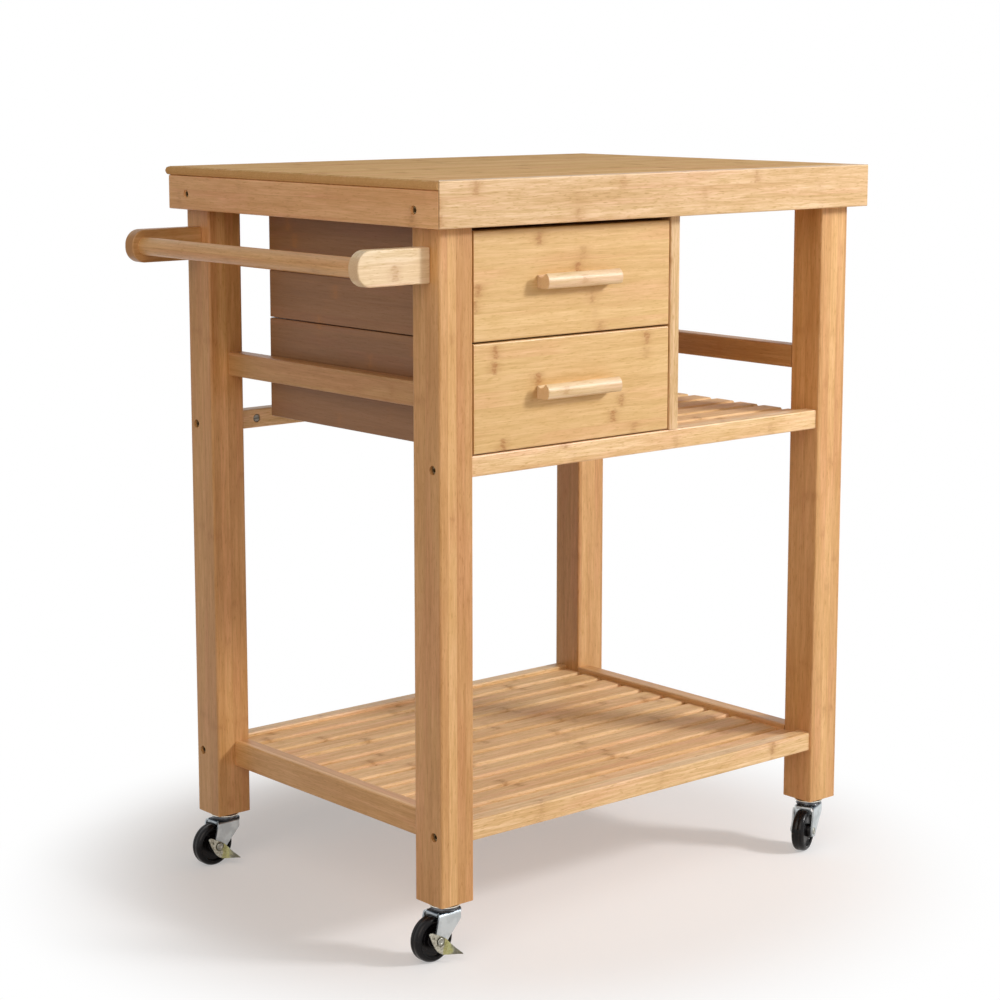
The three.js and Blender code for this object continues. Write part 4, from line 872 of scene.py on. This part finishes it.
class TROLLEY_OT_boards(bpy.types.Operator):
    """Finishes the boards, legs and rails in bamboo, each with its grain along its length"""
    bl_idname = "trolley.boards"
    bl_label = "Finish the Boards"

    def execute(self, context):
        leg_low, _ = low_high("leg_front_left")
        fascia_low, _ = low_high("fascia_front")
        glue_inset = 0.6 * MM
        leg_shift = (0.13, glue_inset - leg_low.y, glue_inset - leg_low.x)
        fascia_shift = (0.0, -fascia_low.z, 0.0)
        # The inner finish of the drawer sides, backs and bottoms is darkened as painted shade.
        side_wood = bamboo("inner", "y_upright", strip=0.0175, ply=0.006)
        # The first pattern that a node's name matches gives its bamboo.
        finishes = {
            "leg_*": bamboo("leg", "z_upright", strip=0.0226, ply=0.0113, shift=leg_shift),
            "fascia_*": bamboo("board_fascia", "x_upright", strip=0.016, ply=0.009, shift=fascia_shift),
            "top_panel": bamboo("top", "x_flat", strip=0.0205, ply=0.008, shine=0.1, dull=0.3),
            "divider": bamboo("board", "z_upright", strip=0.0195, ply=0.008),
            "drawer_*_side_*": side_wood,
            "drawer_*_back": bamboo("inner", "x_upright", strip=0.0175, ply=0.006),
            "drawer_*_bottom": bamboo("inner", "x_flat", strip=0.0195, ply=0.004),
            "drawer_*": bamboo("drawer", "x_upright", strip=0.0163, ply=0.0075),
            # The guard finish is darkened as painted shade.
            "guard_rail_*": bamboo("guard", "y_upright"),
            # The side finish is a lit copy of the board colours, as painted light.
            "apron_*": bamboo("side", "y_upright"),
            # The rail finish is a brighter copy of the board colours, as painted light.
            "*_rail_front": bamboo("rail", "x_upright"),
            "*_rail_rear": bamboo("rail", "x_upright"),
            "*_rail_*": bamboo("leg_rail", "y_upright"),
            "runner_*": bamboo("leg_rail", "y_upright"),
        }
        for node, cad in frame["nodes"].items():
            wood = next((wood for pattern, wood in finishes.items() if fnmatch(node, pattern)), None)
            if wood:
                cad.data.materials.clear()
                cad.data.materials.append(wood)

        # The upper drawer's sides reach down to just above the lower drawer's, and slide on runners in grooves.
        clearance, groove_gap, play = 1.1 * MM, 0.2 * MM, 0.5 * MM
        for side, inward in (("left", 1), ("right", -1)):
            node = f"drawer_upper_side_{side}"
            low, high = low_high(node)
            rail_low, rail_high = low_high(f"runner_upper_{side}")
            _, below = low_high(f"drawer_lower_side_{side}")
            outer, inner = (low.x, high.x) if inward > 0 else (high.x, low.x)
            groove = (rail_high if inward > 0 else rail_low).x + inward * groove_gap
            edge = below.z + clearance
            outline = [(outer, edge), (inner, edge), (inner, high.z), (outer, high.z),
                       (outer, rail_high.z + play), (groove, rail_high.z + play),
                       (groove, rail_low.z - play), (outer, rail_low.z - play)]
            mesh = prism_mesh(node, outline, low.y, high.y)
            piece = new_piece(f"{node}_board", mesh, side_wood, "drawer_upper", (node,))
            ease_edges(piece, 0.6 * MM)
        return {"FINISHED"}


class TROLLEY_OT_slats(bpy.types.Operator):
    """Lays the slats of both shelves on their battens, with a screw up into each slat"""
    bl_idname = "trolley.slats"
    bl_label = "Lay the Slats"

    def execute(self, context):
        size = settings().slats
        # The slat finish is paler partly as a painted sheen.
        slat_wood = bamboo("slat", "x_flat", strip=size.pitch / 2, ply=0.009, shine=0.3, dull=0.15)
        batten_wood = bamboo("board_batten", "y_flat", strip=0.018, ply=0.009)
        tree = row_of_bars_tree()
        for shelf, inset_left in (("bottom", size.batten_inset), ("mid", 0.0)):
            node = f"{shelf}_slat_panel"
            low, high = low_high(node)
            middle = (low + high) / 2
            count = round((high.y - low.y) / size.pitch)
            grown(f"{shelf}_slats", tree, {
                "Bar Length": high.x - low.x, "Bar Width": size.width, "Bar Thickness": size.thickness,
                "Edge Rounding": size.rounding, "Count": count, "Pitch": size.pitch, "Turn": 0.0,
                "Middle": (middle.x, middle.y, high.z - size.thickness / 2),
            }, slat_wood, (node,))
            left = low.x + inset_left + size.batten_width / 2
            right = high.x - size.batten_inset - size.batten_width / 2
            batten_height = high.z - size.thickness - low.z
            grown(f"{shelf}_battens", tree, {
                "Bar Length": high.y - low.y, "Bar Width": size.batten_width, "Bar Thickness": batten_height,
                "Edge Rounding": 0.8 * MM, "Count": 2, "Pitch": right - left, "Turn": math.pi / 2,
                "Middle": ((left + right) / 2, middle.y, low.z + batten_height / 2),
            }, batten_wood)
            rows = [middle.y + (i - (count - 1) / 2) * size.pitch for i in range(count)]
            screws = [((x, y, low.z - 0.2 * MM), (0, 0, -1)) for x in (left, right) for y in rows]
            heads(f"{shelf}_slat_screws", screws, "turned_steel", "bright_steel",
                  diameter=6 * MM, height=1.6 * MM, socket=1.2 * MM, depth=0.8 * MM, slotted=True)
        return {"FINISHED"}


class TROLLEY_OT_bolts(bpy.types.Operator):
    """Sets the rail bolts, apron bolts and barrel nuts in their holes"""
    bl_idname = "trolley.bolts"
    bl_label = "Set the Bolts"

    def execute(self, context):
        size = settings().fittings
        rail_bolts, apron_bolts, barrel_nuts = [], [], []
        for side, way in (("left", -1), ("right", 1)):
            apron = low_high(f"apron_{side}")
            apron_face = apron[way > 0].x
            for end, back in (("front", -1), ("rear", 1)):
                leg = low_high(f"leg_{end}_{side}")
                leg_face, leg_inner = leg[way > 0].x, leg[way < 0].x
                leg_middle = (leg[0].y + leg[1].y) / 2
                bolt_z = apron[0].z + size.apron_bolt_height
                bolt_x = apron_face - way * size.apron_head_depth
                apron_bolts.append(((bolt_x, leg_middle, bolt_z), (way, 0, 0)))
                for rail in ("mid_rail", "bottom_rail"):
                    low, high = low_high(f"{rail}_{end}")
                    middle = (low + high) / 2
                    rail_bolts.append(((leg_face - way * size.head_depth, middle.y, middle.z), (way, 0, 0)))
                    nut_y = (high if back < 0 else low).y + back * 0.6 * MM
                    barrel_nuts.append(((leg_inner - way * size.nut_inset, nut_y, middle.z), (0, -back, 0)))
        for name, points, height, depth in (
            ("rail_bolts", rail_bolts, 3.6 * MM, 2.5 * MM), ("apron_bolts", apron_bolts, 3 * MM, 2.2 * MM),
        ):
            heads(name, points, "bronzed_bolt", "yellow_zinc", diameter=size.bolt_head, height=height,
                  socket=size.socket, depth=depth)
        heads("barrel_nuts", barrel_nuts, "dull_steel", "bright_steel",
              diameter=9.4 * MM, height=11 * MM, socket=1.4 * MM, depth=1.4 * MM, slotted=True)
        return {"FINISHED"}


def pull_section(reach, height):
    """Outline of a pull from its back: a flat underside, a round nose and a finger scoop."""
    nose, nose_low, nose_high = 0.716 * reach, 0.424 * height, 0.81 * height
    outline = [(0.0, 0.0), (nose, 0.0)]
    outline += bend(outline[-1], (reach, 0.0), (reach, nose_low), 10)
    outline += bend(outline[-1], (reach, nose_high), (nose, height), 10)
    outline += bend(outline[-1], (0.358 * reach, 0.5 * height), (0.084 * reach, 0.84 * height), 12)
    outline.append((0.0, 0.84 * height))
    return outline


class TROLLEY_OT_pulls(bpy.types.Operator):
    """Shapes the two bar pulls on the drawers"""
    bl_idname = "trolley.pulls"
    bl_label = "Shape the Pulls"

    def execute(self, context):
        wood = bamboo("pull", "x_upright", strip=0.0145, ply=0.009)
        for drawer in DRAWERS:
            node = f"{drawer}_pull"
            low, high = low_high(node)
            section = pull_section(high.y - low.y, high.z - low.z)
            outline = [(high.y - reach, low.z + height) for reach, height in section]
            mesh = prism_mesh(node, outline, low.x, high.x, "yzx")
            piece = new_piece(f"{drawer}_bar_pull", mesh, wood, drawer, (node,))
            ease_edges(piece, 0.7 * MM)
        return {"FINISHED"}


class TROLLEY_OT_towel_bar(bpy.types.Operator):
    """Shapes the two towel arms and turns the dowel between them"""
    bl_idname = "trolley.towel_bar"
    bl_label = "Make the Towel Bar"

    def execute(self, context):
        radius = settings().slats.arm_nose
        # The front arm's paler arm finish is painted light, and the rear arm's darker guard finish painted
        # shade.
        for end, finish in (("front", "arm"), ("rear", "guard")):
            wood = bamboo(finish, "x_upright", strip=0.0185, ply=0.008)
            node = f"towel_arm_{end}"
            low, high = low_high(node)
            outline = [(high.x, low.z), (high.x, high.z)]
            outline += arc((low.x + radius, high.z - radius), radius, 90, 180, 14)
            outline += arc((low.x + radius, low.z + radius), radius, 180, 270, 14)
            mesh = prism_mesh(node, outline, low.y, high.y)
            piece = new_piece(f"{node}_eased", mesh, wood, "frame", (node,))
            ease_edges(piece, 1.6 * MM)
        node = "towel_dowel"
        low, high = low_high(node)
        middle = (low + high) / 2
        radius, half = (high.z - low.z) / 2, (high.y - low.y) / 2
        wood = bamboo("leg_dowel", "y_upright", strip=0.0105, ply=0.0105, shift=(0.0, -middle.z, -middle.x))
        profile = [(0, -half), (radius, -half), (radius, half), (0, half)]
        place = Matrix.Translation(middle) @ Matrix.Rotation(math.pi / 2, 4, "X")
        mesh = turned_mesh(node, [(profile, 72)], place, sharp=40, marked=False)
        new_piece("towel_dowel_turned", mesh, wood, "frame", (node,))
        return {"FINISHED"}


# ------------------------------------------------------------------ casters
#
# A caster is shaped round its swivel axis, trailing along +X, with the floor at z = 0.

def side_outline(size, z):
    """Where a fork's side plate starts and ends along the trail, at one height."""
    foot, heel = size.foot_radius, size.heel
    centre = size.trail - size.foot_back
    level = z - size.axle_height
    heel_z = size.fork_top - size.heel_depth
    start = -heel
    if z < heel_z:
        rise, run = heel_z - size.axle_height, centre + heel
        away = math.atan2(rise, run) + math.asin(foot / math.hypot(rise, run))
        start = -heel + (heel_z - z) / math.tan(away)
    half = math.sqrt(max(foot * foot - level * level, 0.0))
    top = size.fork_top - size.fork_bend - size.axle_height
    lean = math.atan2(centre + foot - size.crown_front, top)
    touch = foot * math.sin(lean)
    if level < touch:
        end = centre + half
    else:
        front = centre + foot * math.cos(lean)
        end = front + (size.crown_front - front) * (level - touch) / (top - touch)
    if abs(level) < foot and start > centre - half - 0.4 * MM:
        start = centre - half
    return min(start, end), end


def fork_rows(size):
    """The fork's middle surface, from one foot over the crown to the other."""
    sheet, fold, corner = size.fork_sheet, size.fork_bend, size.heel_corner
    half = size.fork_inner + sheet / 2
    outer = half + sheet / 2
    crown_z = size.fork_top - sheet / 2
    flat = half - fold
    full = size.crown_front
    lipped = full - sheet / 2 - size.lip_bend

    def plan_start(y):
        past = min(max(abs(y) - (outer - corner), 0.0), corner)
        return -size.heel + corner - math.sqrt(corner * corner - past * past)

    # Across, up, and where the row ends. The side plates' rows end where side_outline says.
    rise = crown_z - fold - size.axle_height
    drops = [size.foot_radius * math.cos(math.radians(9 * i)) for i in range(11)]
    stations = [(half, size.axle_height - drop, None) for drop in drops]
    stations += [(half, size.axle_height + rise * i / 14, None) for i in range(1, 15)]
    for i in range(1, 9):
        angle = math.radians(90 * i / 8)
        end = full + (lipped - full) * (i / 8) * (i / 8)
        stations.append((flat + fold * math.cos(angle), crown_z - fold + fold * math.sin(angle), end))
    stations += [(flat * (1 - i / 5), crown_z, lipped) for i in range(1, 6)]
    mirrored = [(-y, z, end) for y, z, end in reversed(stations[:-1])]
    rows = []
    for y, z, end in stations + mirrored:
        start, stop = side_outline(size, z)
        stop = stop if end is None else end
        if z > size.axle_height + size.foot_radius:
            start = max(start, plan_start(y))
        rows.append([(start + (stop - start) * i / 18, y, z) for i in range(19)])
    return rows


def lip_rows(size):
    """The rolled lip that closes the fork's front below its crown."""
    sheet, fold = size.fork_sheet, size.lip_bend
    half = size.fork_inner + sheet / 2 - size.fork_bend
    line = arc((size.crown_front - sheet / 2 - fold, size.fork_top - sheet / 2 - fold), fold, 90, 0, 8)
    x, top = line[-1]
    rows = []
    for i in range(15):
        y = half * (1 - 2 * i / 14)
        lowest = size.fork_top - size.lip_height - 0.8 * MM * (2 * i / 14 - 1) ** 2
        points = line + [(x, top + (lowest - top) * j / 3) for j in range(1, 4)]
        rows.append([(x, y, z) for x, z in points])
    return rows


def leaf_height(points, x):
    """Height of an outline, given as points with rising x, at x."""
    if x <= points[0][0]:
        return points[0][1]
    for (x0, z0), (x1, z1) in zip(points, points[1:]):
        if x <= x1:
            return z0 + (z1 - z0) * (x - x0) / max(x1 - x0, 1e-9)
    return points[-1][1]


def lever_rows(size):
    """The brake lever's middle surface round its axle: a leaf with a foot tab folded outwards."""
    angle = math.radians(size.tab_angle_degrees)
    middle = size.fork_inner + size.fork_sheet + 0.3 * MM + size.lever_sheet / 2
    front, fold, tab, bend_radius = 16, -10, 19, 3 * MM
    tip = fold - tab * math.cos(angle)
    upper = from_mm([
        (tip, -11.9), (-16.8, -6.4), (fold, 0.7), (-5.6, 3.4), (-1.5, 5.3), (6.5, 7.9), (12.8, 10.1),
        (14.4, 10.1), (15.5, 9.3), (front, 8)])
    lower = from_mm([
        (tip, -12.4), (-19.9, -13), (-11.9, -15.1), (-6, -14.8), (-0.7, -12.9), (3.4, -10.2), (6.9, -6.8),
        (12, 0.2), (15.2, 5.6), (front, 7.4)])
    line = [((front + (fold - front) * i / 40) * MM, middle) for i in range(41)]
    line += arc((fold * MM, middle + bend_radius), bend_radius, 270, 270 - size.tab_angle_degrees, 6)[1:]
    last_x, last_y = line[-1]
    for i in range(1, 15):
        reach = (last_x - tip * MM) * i / 14
        line.append((last_x - reach, last_y + reach * math.tan(angle)))
    rows = []
    for x, y in line:
        low, high = leaf_height(lower, x), leaf_height(upper, x)
        row = []
        for i in range(25):
            z = low + (high - low) * i / 24
            # A raised ring runs round the axle.
            off = (math.hypot(x, z) - 6.6 * MM) / (0.9 * MM)
            row.append((x, y + size.boss_height * math.exp(-off * off), z))
        rows.append(row)
    return rows


def wheel_profile(size):
    """The wheel's section as (radius, along the axle): dished sides, a hub and a grooved rim."""
    radius, half = size.wheel_radius, size.tread / 2
    side = from_mm([(3.3, 0), (6.9, 0), (7.6, -0.9)], (0.0, size.hub_width / 2))
    side += from_mm([
        (7.9, -3), (18.2, -3.2), (19, -0.5), (19.8, 0), (20.4, 0), (20.6, -0.5), (21, -0.5), (21.2, -0.1),
    ], (0.0, half))
    shoulder = 4.6 * MM
    line = eased(side, 0.5 * MM) + arc((radius - shoulder, half - shoulder), shoulder, 74, 0, 10)
    line += [(radius, 0.5 * MM), (radius - 0.12 * MM, 0.2 * MM)]
    return line + [(r, -y) for r, y in reversed(line)]


class TROLLEY_OT_casters(bpy.types.Operator):
    """Makes the four swivel casters, two of them with a side brake lever"""
    bl_idname = "trolley.casters"
    bl_label = "Make the Casters"

    def execute(self, context):
        size = settings().casters
        joints = {joint["name"]: joint for joint in frame["joints"]}
        plastic = moulded_plastic("moulded_black", size.tread_colour)
        shade = tuple(0.82 * c for c in size.zinc_colour)
        # The forks get a painted shade on faces turned upwards; the races a dark painted shade and a pale
        # painted highlight at the rim.
        zinc = plated_metal("bright_zinc", (size.zinc_colour, shade, 0.34, 0.44, 90.0), painted_shade=PAINTED_SHADE_TONE)
        race_steel = plated_metal("race_steel", rim=size.race_radius - 0.5 * MM)
        count = size.segments
        crown, outside = size.fork_top, size.fork_inner + size.fork_sheet
        for corner in CORNERS:
            name = f"caster_{corner}"
            fork_body = f"{name}_fork"
            swivel = Vector(joints[f"{name}_swivel"]["pos_m"])
            axle_place = Vector(joints[f"{name}_spin"]["pos_m"])
            trails = math.atan2(axle_place.y - swivel.y, axle_place.x - swivel.x)
            place = Matrix.Translation((swivel.x, swivel.y, 0)) @ Matrix.Rotation(trails, 4, "Z")
            at_axle = place @ Matrix.Translation((size.trail, 0, size.axle_height))
            along_axle = at_axle @ Matrix.Rotation(-math.pi / 2, 4, "X")
            braked = corner in BRAKED

            # Stem and upper race, from the race's edge at the foot of the leg.
            top, race = size.plate_height, size.race_radius
            profile = [(0, top - 1.6 * MM)]
            profile += from_mm([
                (-2, -1.6), (-1.6, -4.4), (-0.2, -4.9), (0.2, -4.4), (0, -3.4), (-1.2, -3.1), (-1.2, -0.8),
                (-1.8, 0)], (race, top))
            profile += from_mm([(4, 0), (4, 29), (3, 30), (0, 30)], (0.0, top))
            mesh = turned_mesh(f"{name}_race", [(eased(profile, 0.5 * MM), count)], place)
            new_piece(f"{name}_race", mesh, race_steel, "frame", (f"{name}_stem",))

            # Fork: folded sheet and front lip, then the raised lower race and the kingpin's rivet head.
            shape = bmesh.new()
            add_sheet(shape, fork_rows(size), size.fork_sheet)
            add_sheet(shape, lip_rows(size), size.fork_sheet)
            fork_mesh = to_mesh(f"{name}_fork", shape, place)
            fork = new_piece(f"{name}_folded_fork", fork_mesh, zinc, fork_body, (f"{name}_fork",))
            ease_edges(fork, 0.35 * MM, 2, 50)
            dome = from_mm([
                (0, -0.2), (15.2, -0.2), (15.2, 0.3), (14.3, 0.9), (13.8, 4), (12.9, 6.6), (0, 6.6)],
                (0.0, crown))
            rivet = from_mm([(0, -1), (4.2, -0.9), (5.6, -0.4), (6, 0), (0, 0)],
                            (0.0, crown - size.fork_sheet + 0.1 * MM))
            mesh = turned_mesh(f"{name}_lower_race", [(eased(dome, 0.5 * MM), count), (rivet, 48)], place)
            new_piece(f"{name}_lower_race", mesh, race_steel, fork_body)

            # Axle: a shaft with riveted heads, the outer one outside the lever.
            shaft = from_mm([(0, -1.1), (3, -1.1), (4.4, -0.77), (5, 0), (3, 0)], (0.0, -outside - 0.3 * MM))
            shaft += [(3 * MM, outside), (0, outside)]
            under = outside + (0.6 * MM + size.lever_sheet if braked else 0.0)
            cap = from_mm([(0, 0), (4.4, 0), (4.1, 0.66), (3.2, 1.1), (2.2, 1.1), (1.7, 0.55), (0, 0.55)],
                          (0.0, under))
            parts = [(eased(shaft, 0.4 * MM), 48), (eased(cap, 0.35 * MM), 48)]
            mesh = turned_mesh(f"{name}_axle", parts, along_axle, marked=False)
            new_piece(f"{name}_riveted_axle", mesh, plated_metal("axle_steel"), fork_body,
                      (f"{name}_axle",))

            parts = [(wheel_profile(size), count)]
            mesh = turned_mesh(f"{name}_wheel", parts, along_axle, sharp=60, closed=True)
            new_piece(f"{name}_moulded_wheel", mesh, plastic, f"{name}_wheel",
                      (f"{name}_wheel",))

            if braked:
                shape = bmesh.new()
                add_sheet(shape, lever_rows(size), size.lever_sheet)
                mark_section(shape, lambda at: (at.x, at.z, 0.0))
                raised = Matrix.Rotation(-math.radians(size.lever_rest_degrees), 4, "Y")
                lever_mesh = to_mesh(f"{name}_lever", shape, at_axle @ raised)
                lever = new_piece(f"{name}_brake_lever", lever_mesh, lever_zinc(), f"{name}_brake",
                                  (f"{name}_brake",))
                ease_edges(lever, 0.3 * MM, 2, 50)
        return {"FINISHED"}


# ------------------------------------------------------------------ stage

WHITE = (1, 1, 1, 1)


def seen_directly(graph):
    """1 for camera, glossy and transmission rays."""
    path = graph.add("ShaderNodeLightPath").outputs
    mirror = graph.math("MAXIMUM", path["Is Glossy Ray"], path["Is Transmission Ray"])
    return graph.math("MAXIMUM", path["Is Camera Ray"], mirror)


def blend(graph, share, first, second):
    return graph.add("ShaderNodeMixShader", {0: share, 1: first.outputs[0], 2: second.outputs[0]})


def emptied(owner):
    """The graph of a material or world, without nodes."""
    owner.use_nodes = True
    owner.node_tree.nodes.clear()
    return Graph(owner.node_tree)


def place_and_aim(name, data, place, looks):
    """Puts a lamp or camera in the scene, looking one way."""
    holder = bpy.data.objects.new(name, data)
    holder.location = place
    holder.rotation_mode = "QUATERNION"
    holder.rotation_quaternion = looks.to_track_quat("-Z", "Y")
    bpy.context.scene.collection.objects.link(holder)
    return holder


class TROLLEY_OT_stage(bpy.types.Operator):
    """Sets the pale floor, the soft lamps, the white surroundings and the camera"""
    bl_idname = "trolley.stage"
    bl_label = "Set the Stage"

    def execute(self, context):
        scene, stage = context.scene, settings().stage
        shape = bmesh.new()
        bmesh.ops.create_grid(shape, x_segments=8, y_segments=8, size=12.0)
        mesh = bpy.data.meshes.new("studio_floor")
        shape.to_mesh(mesh)
        shape.free()
        floor = bpy.data.objects.new("studio_floor", mesh)
        scene.collection.objects.link(floor)
        material = bpy.data.materials.new("studio_floor")
        graph = emptied(material)
        plain = graph.add("ShaderNodeBsdfDiffuse", {"Color": rgba(stage.floor_colour)})
        shown = graph.add("ShaderNodeBsdfDiffuse", {"Color": rgba(stage.floor_shown)})
        white = graph.add("ShaderNodeEmission", {"Color": WHITE, "Strength": 1.0})
        away = graph.vector_math("LENGTH", graph.coordinates())["Value"]
        fade = graph.ramp(away, stage.fade_start, stage.fade_end, stage.floor_lift, 1.0)
        surface = blend(graph, seen_directly(graph), plain, blend(graph, fade, shown, white))
        graph.add("ShaderNodeOutputMaterial", {"Surface": surface.outputs[0]})
        mesh.materials.append(material)

        scene.world = bpy.data.worlds.new("studio_world")
        graph = emptied(scene.world)
        ambient = {"Color": rgba(stage.ambient_colour), "Strength": stage.ambient}
        around = graph.add("ShaderNodeBackground", ambient)
        white = graph.add("ShaderNodeBackground", {"Color": WHITE, "Strength": 1.0})
        surface = blend(graph, seen_directly(graph), around, white)
        graph.add("ShaderNodeOutputWorld", {"Surface": surface.outputs[0]})

        target = Vector((0.0, 0.0, 0.45))
        for kind, tint in (
            ("key", (1.0, 0.985, 0.965)), ("fill", (1.0, 0.86, 0.74)), ("soft", (1.0, 0.98, 0.95)),
        ):
            lamp = bpy.data.lights.new(f"{kind}_lamp", "AREA")
            lamp.shape = "SQUARE"
            lamp.size = getattr(stage, f"{kind}_size")
            lamp.energy = getattr(stage, f"{kind}_power")
            lamp.color = tint
            place = getattr(stage, f"{kind}_place")
            place_and_aim(f"{kind}_lamp", lamp, place, target - Vector(place))

        eye = bpy.data.cameras.new("trolley_camera")
        eye.sensor_width = 36.0
        eye.lens = stage.lens
        eye.shift_y = stage.shift
        eye.clip_start, eye.clip_end = 0.05, 60.0
        level = math.cos(stage.pitch)
        level_x, level_y = math.sin(stage.azimuth) * level, math.cos(stage.azimuth) * level
        looks = Vector((level_x, level_y, -math.sin(stage.pitch)))
        scene.camera = place_and_aim("trolley_camera", eye, stage.camera_place, looks)
        scene.view_settings.view_transform = "Standard"
        return {"FINISHED"}


# ------------------------------------------------------------------ panel and running

STEPS = ("boards", "slats", "bolts", "pulls", "towel_bar", "casters", "stage")


class TROLLEY_PT_panel(bpy.types.Panel):
    """The trolley's settings and the steps that make it"""
    bl_idname = "TROLLEY_PT_panel"
    bl_label = "Bamboo Kitchen Trolley"
    bl_space_type = "VIEW_3D"
    bl_region_type = "UI"
    bl_category = "Trolley"

    def draw(self, context):
        for step in STEPS:
            self.layout.operator(f"trolley.{step}")
        for group in ("bamboo", "slats", "fittings", "casters", "stage"):
            box = self.layout.box()
            box.label(text=group.capitalize())
            values = getattr(settings(), group)
            for name in values.__annotations__:
                box.prop(values, name)


CLASSES = (
    BambooSettings, SlatSettings, FittingSettings, CasterSettings, StageSettings, TrolleySettings,
    TROLLEY_OT_boards, TROLLEY_OT_slats, TROLLEY_OT_bolts, TROLLEY_OT_pulls, TROLLEY_OT_towel_bar,
    TROLLEY_OT_casters, TROLLEY_OT_stage, TROLLEY_PT_panel,
)


def register():
    for kind in CLASSES:
        bpy.utils.register_class(kind)
    bpy.types.Scene.trolley = PointerProperty(type=TrolleySettings)


def unregister():
    del bpy.types.Scene.trolley
    for kind in reversed(CLASSES):
        bpy.utils.unregister_class(kind)


def main():
    register()
    for step in STEPS:
        getattr(bpy.ops.trolley, step)()
    bpy.context.view_layer.update()


if __name__ == "__main__":
    main()
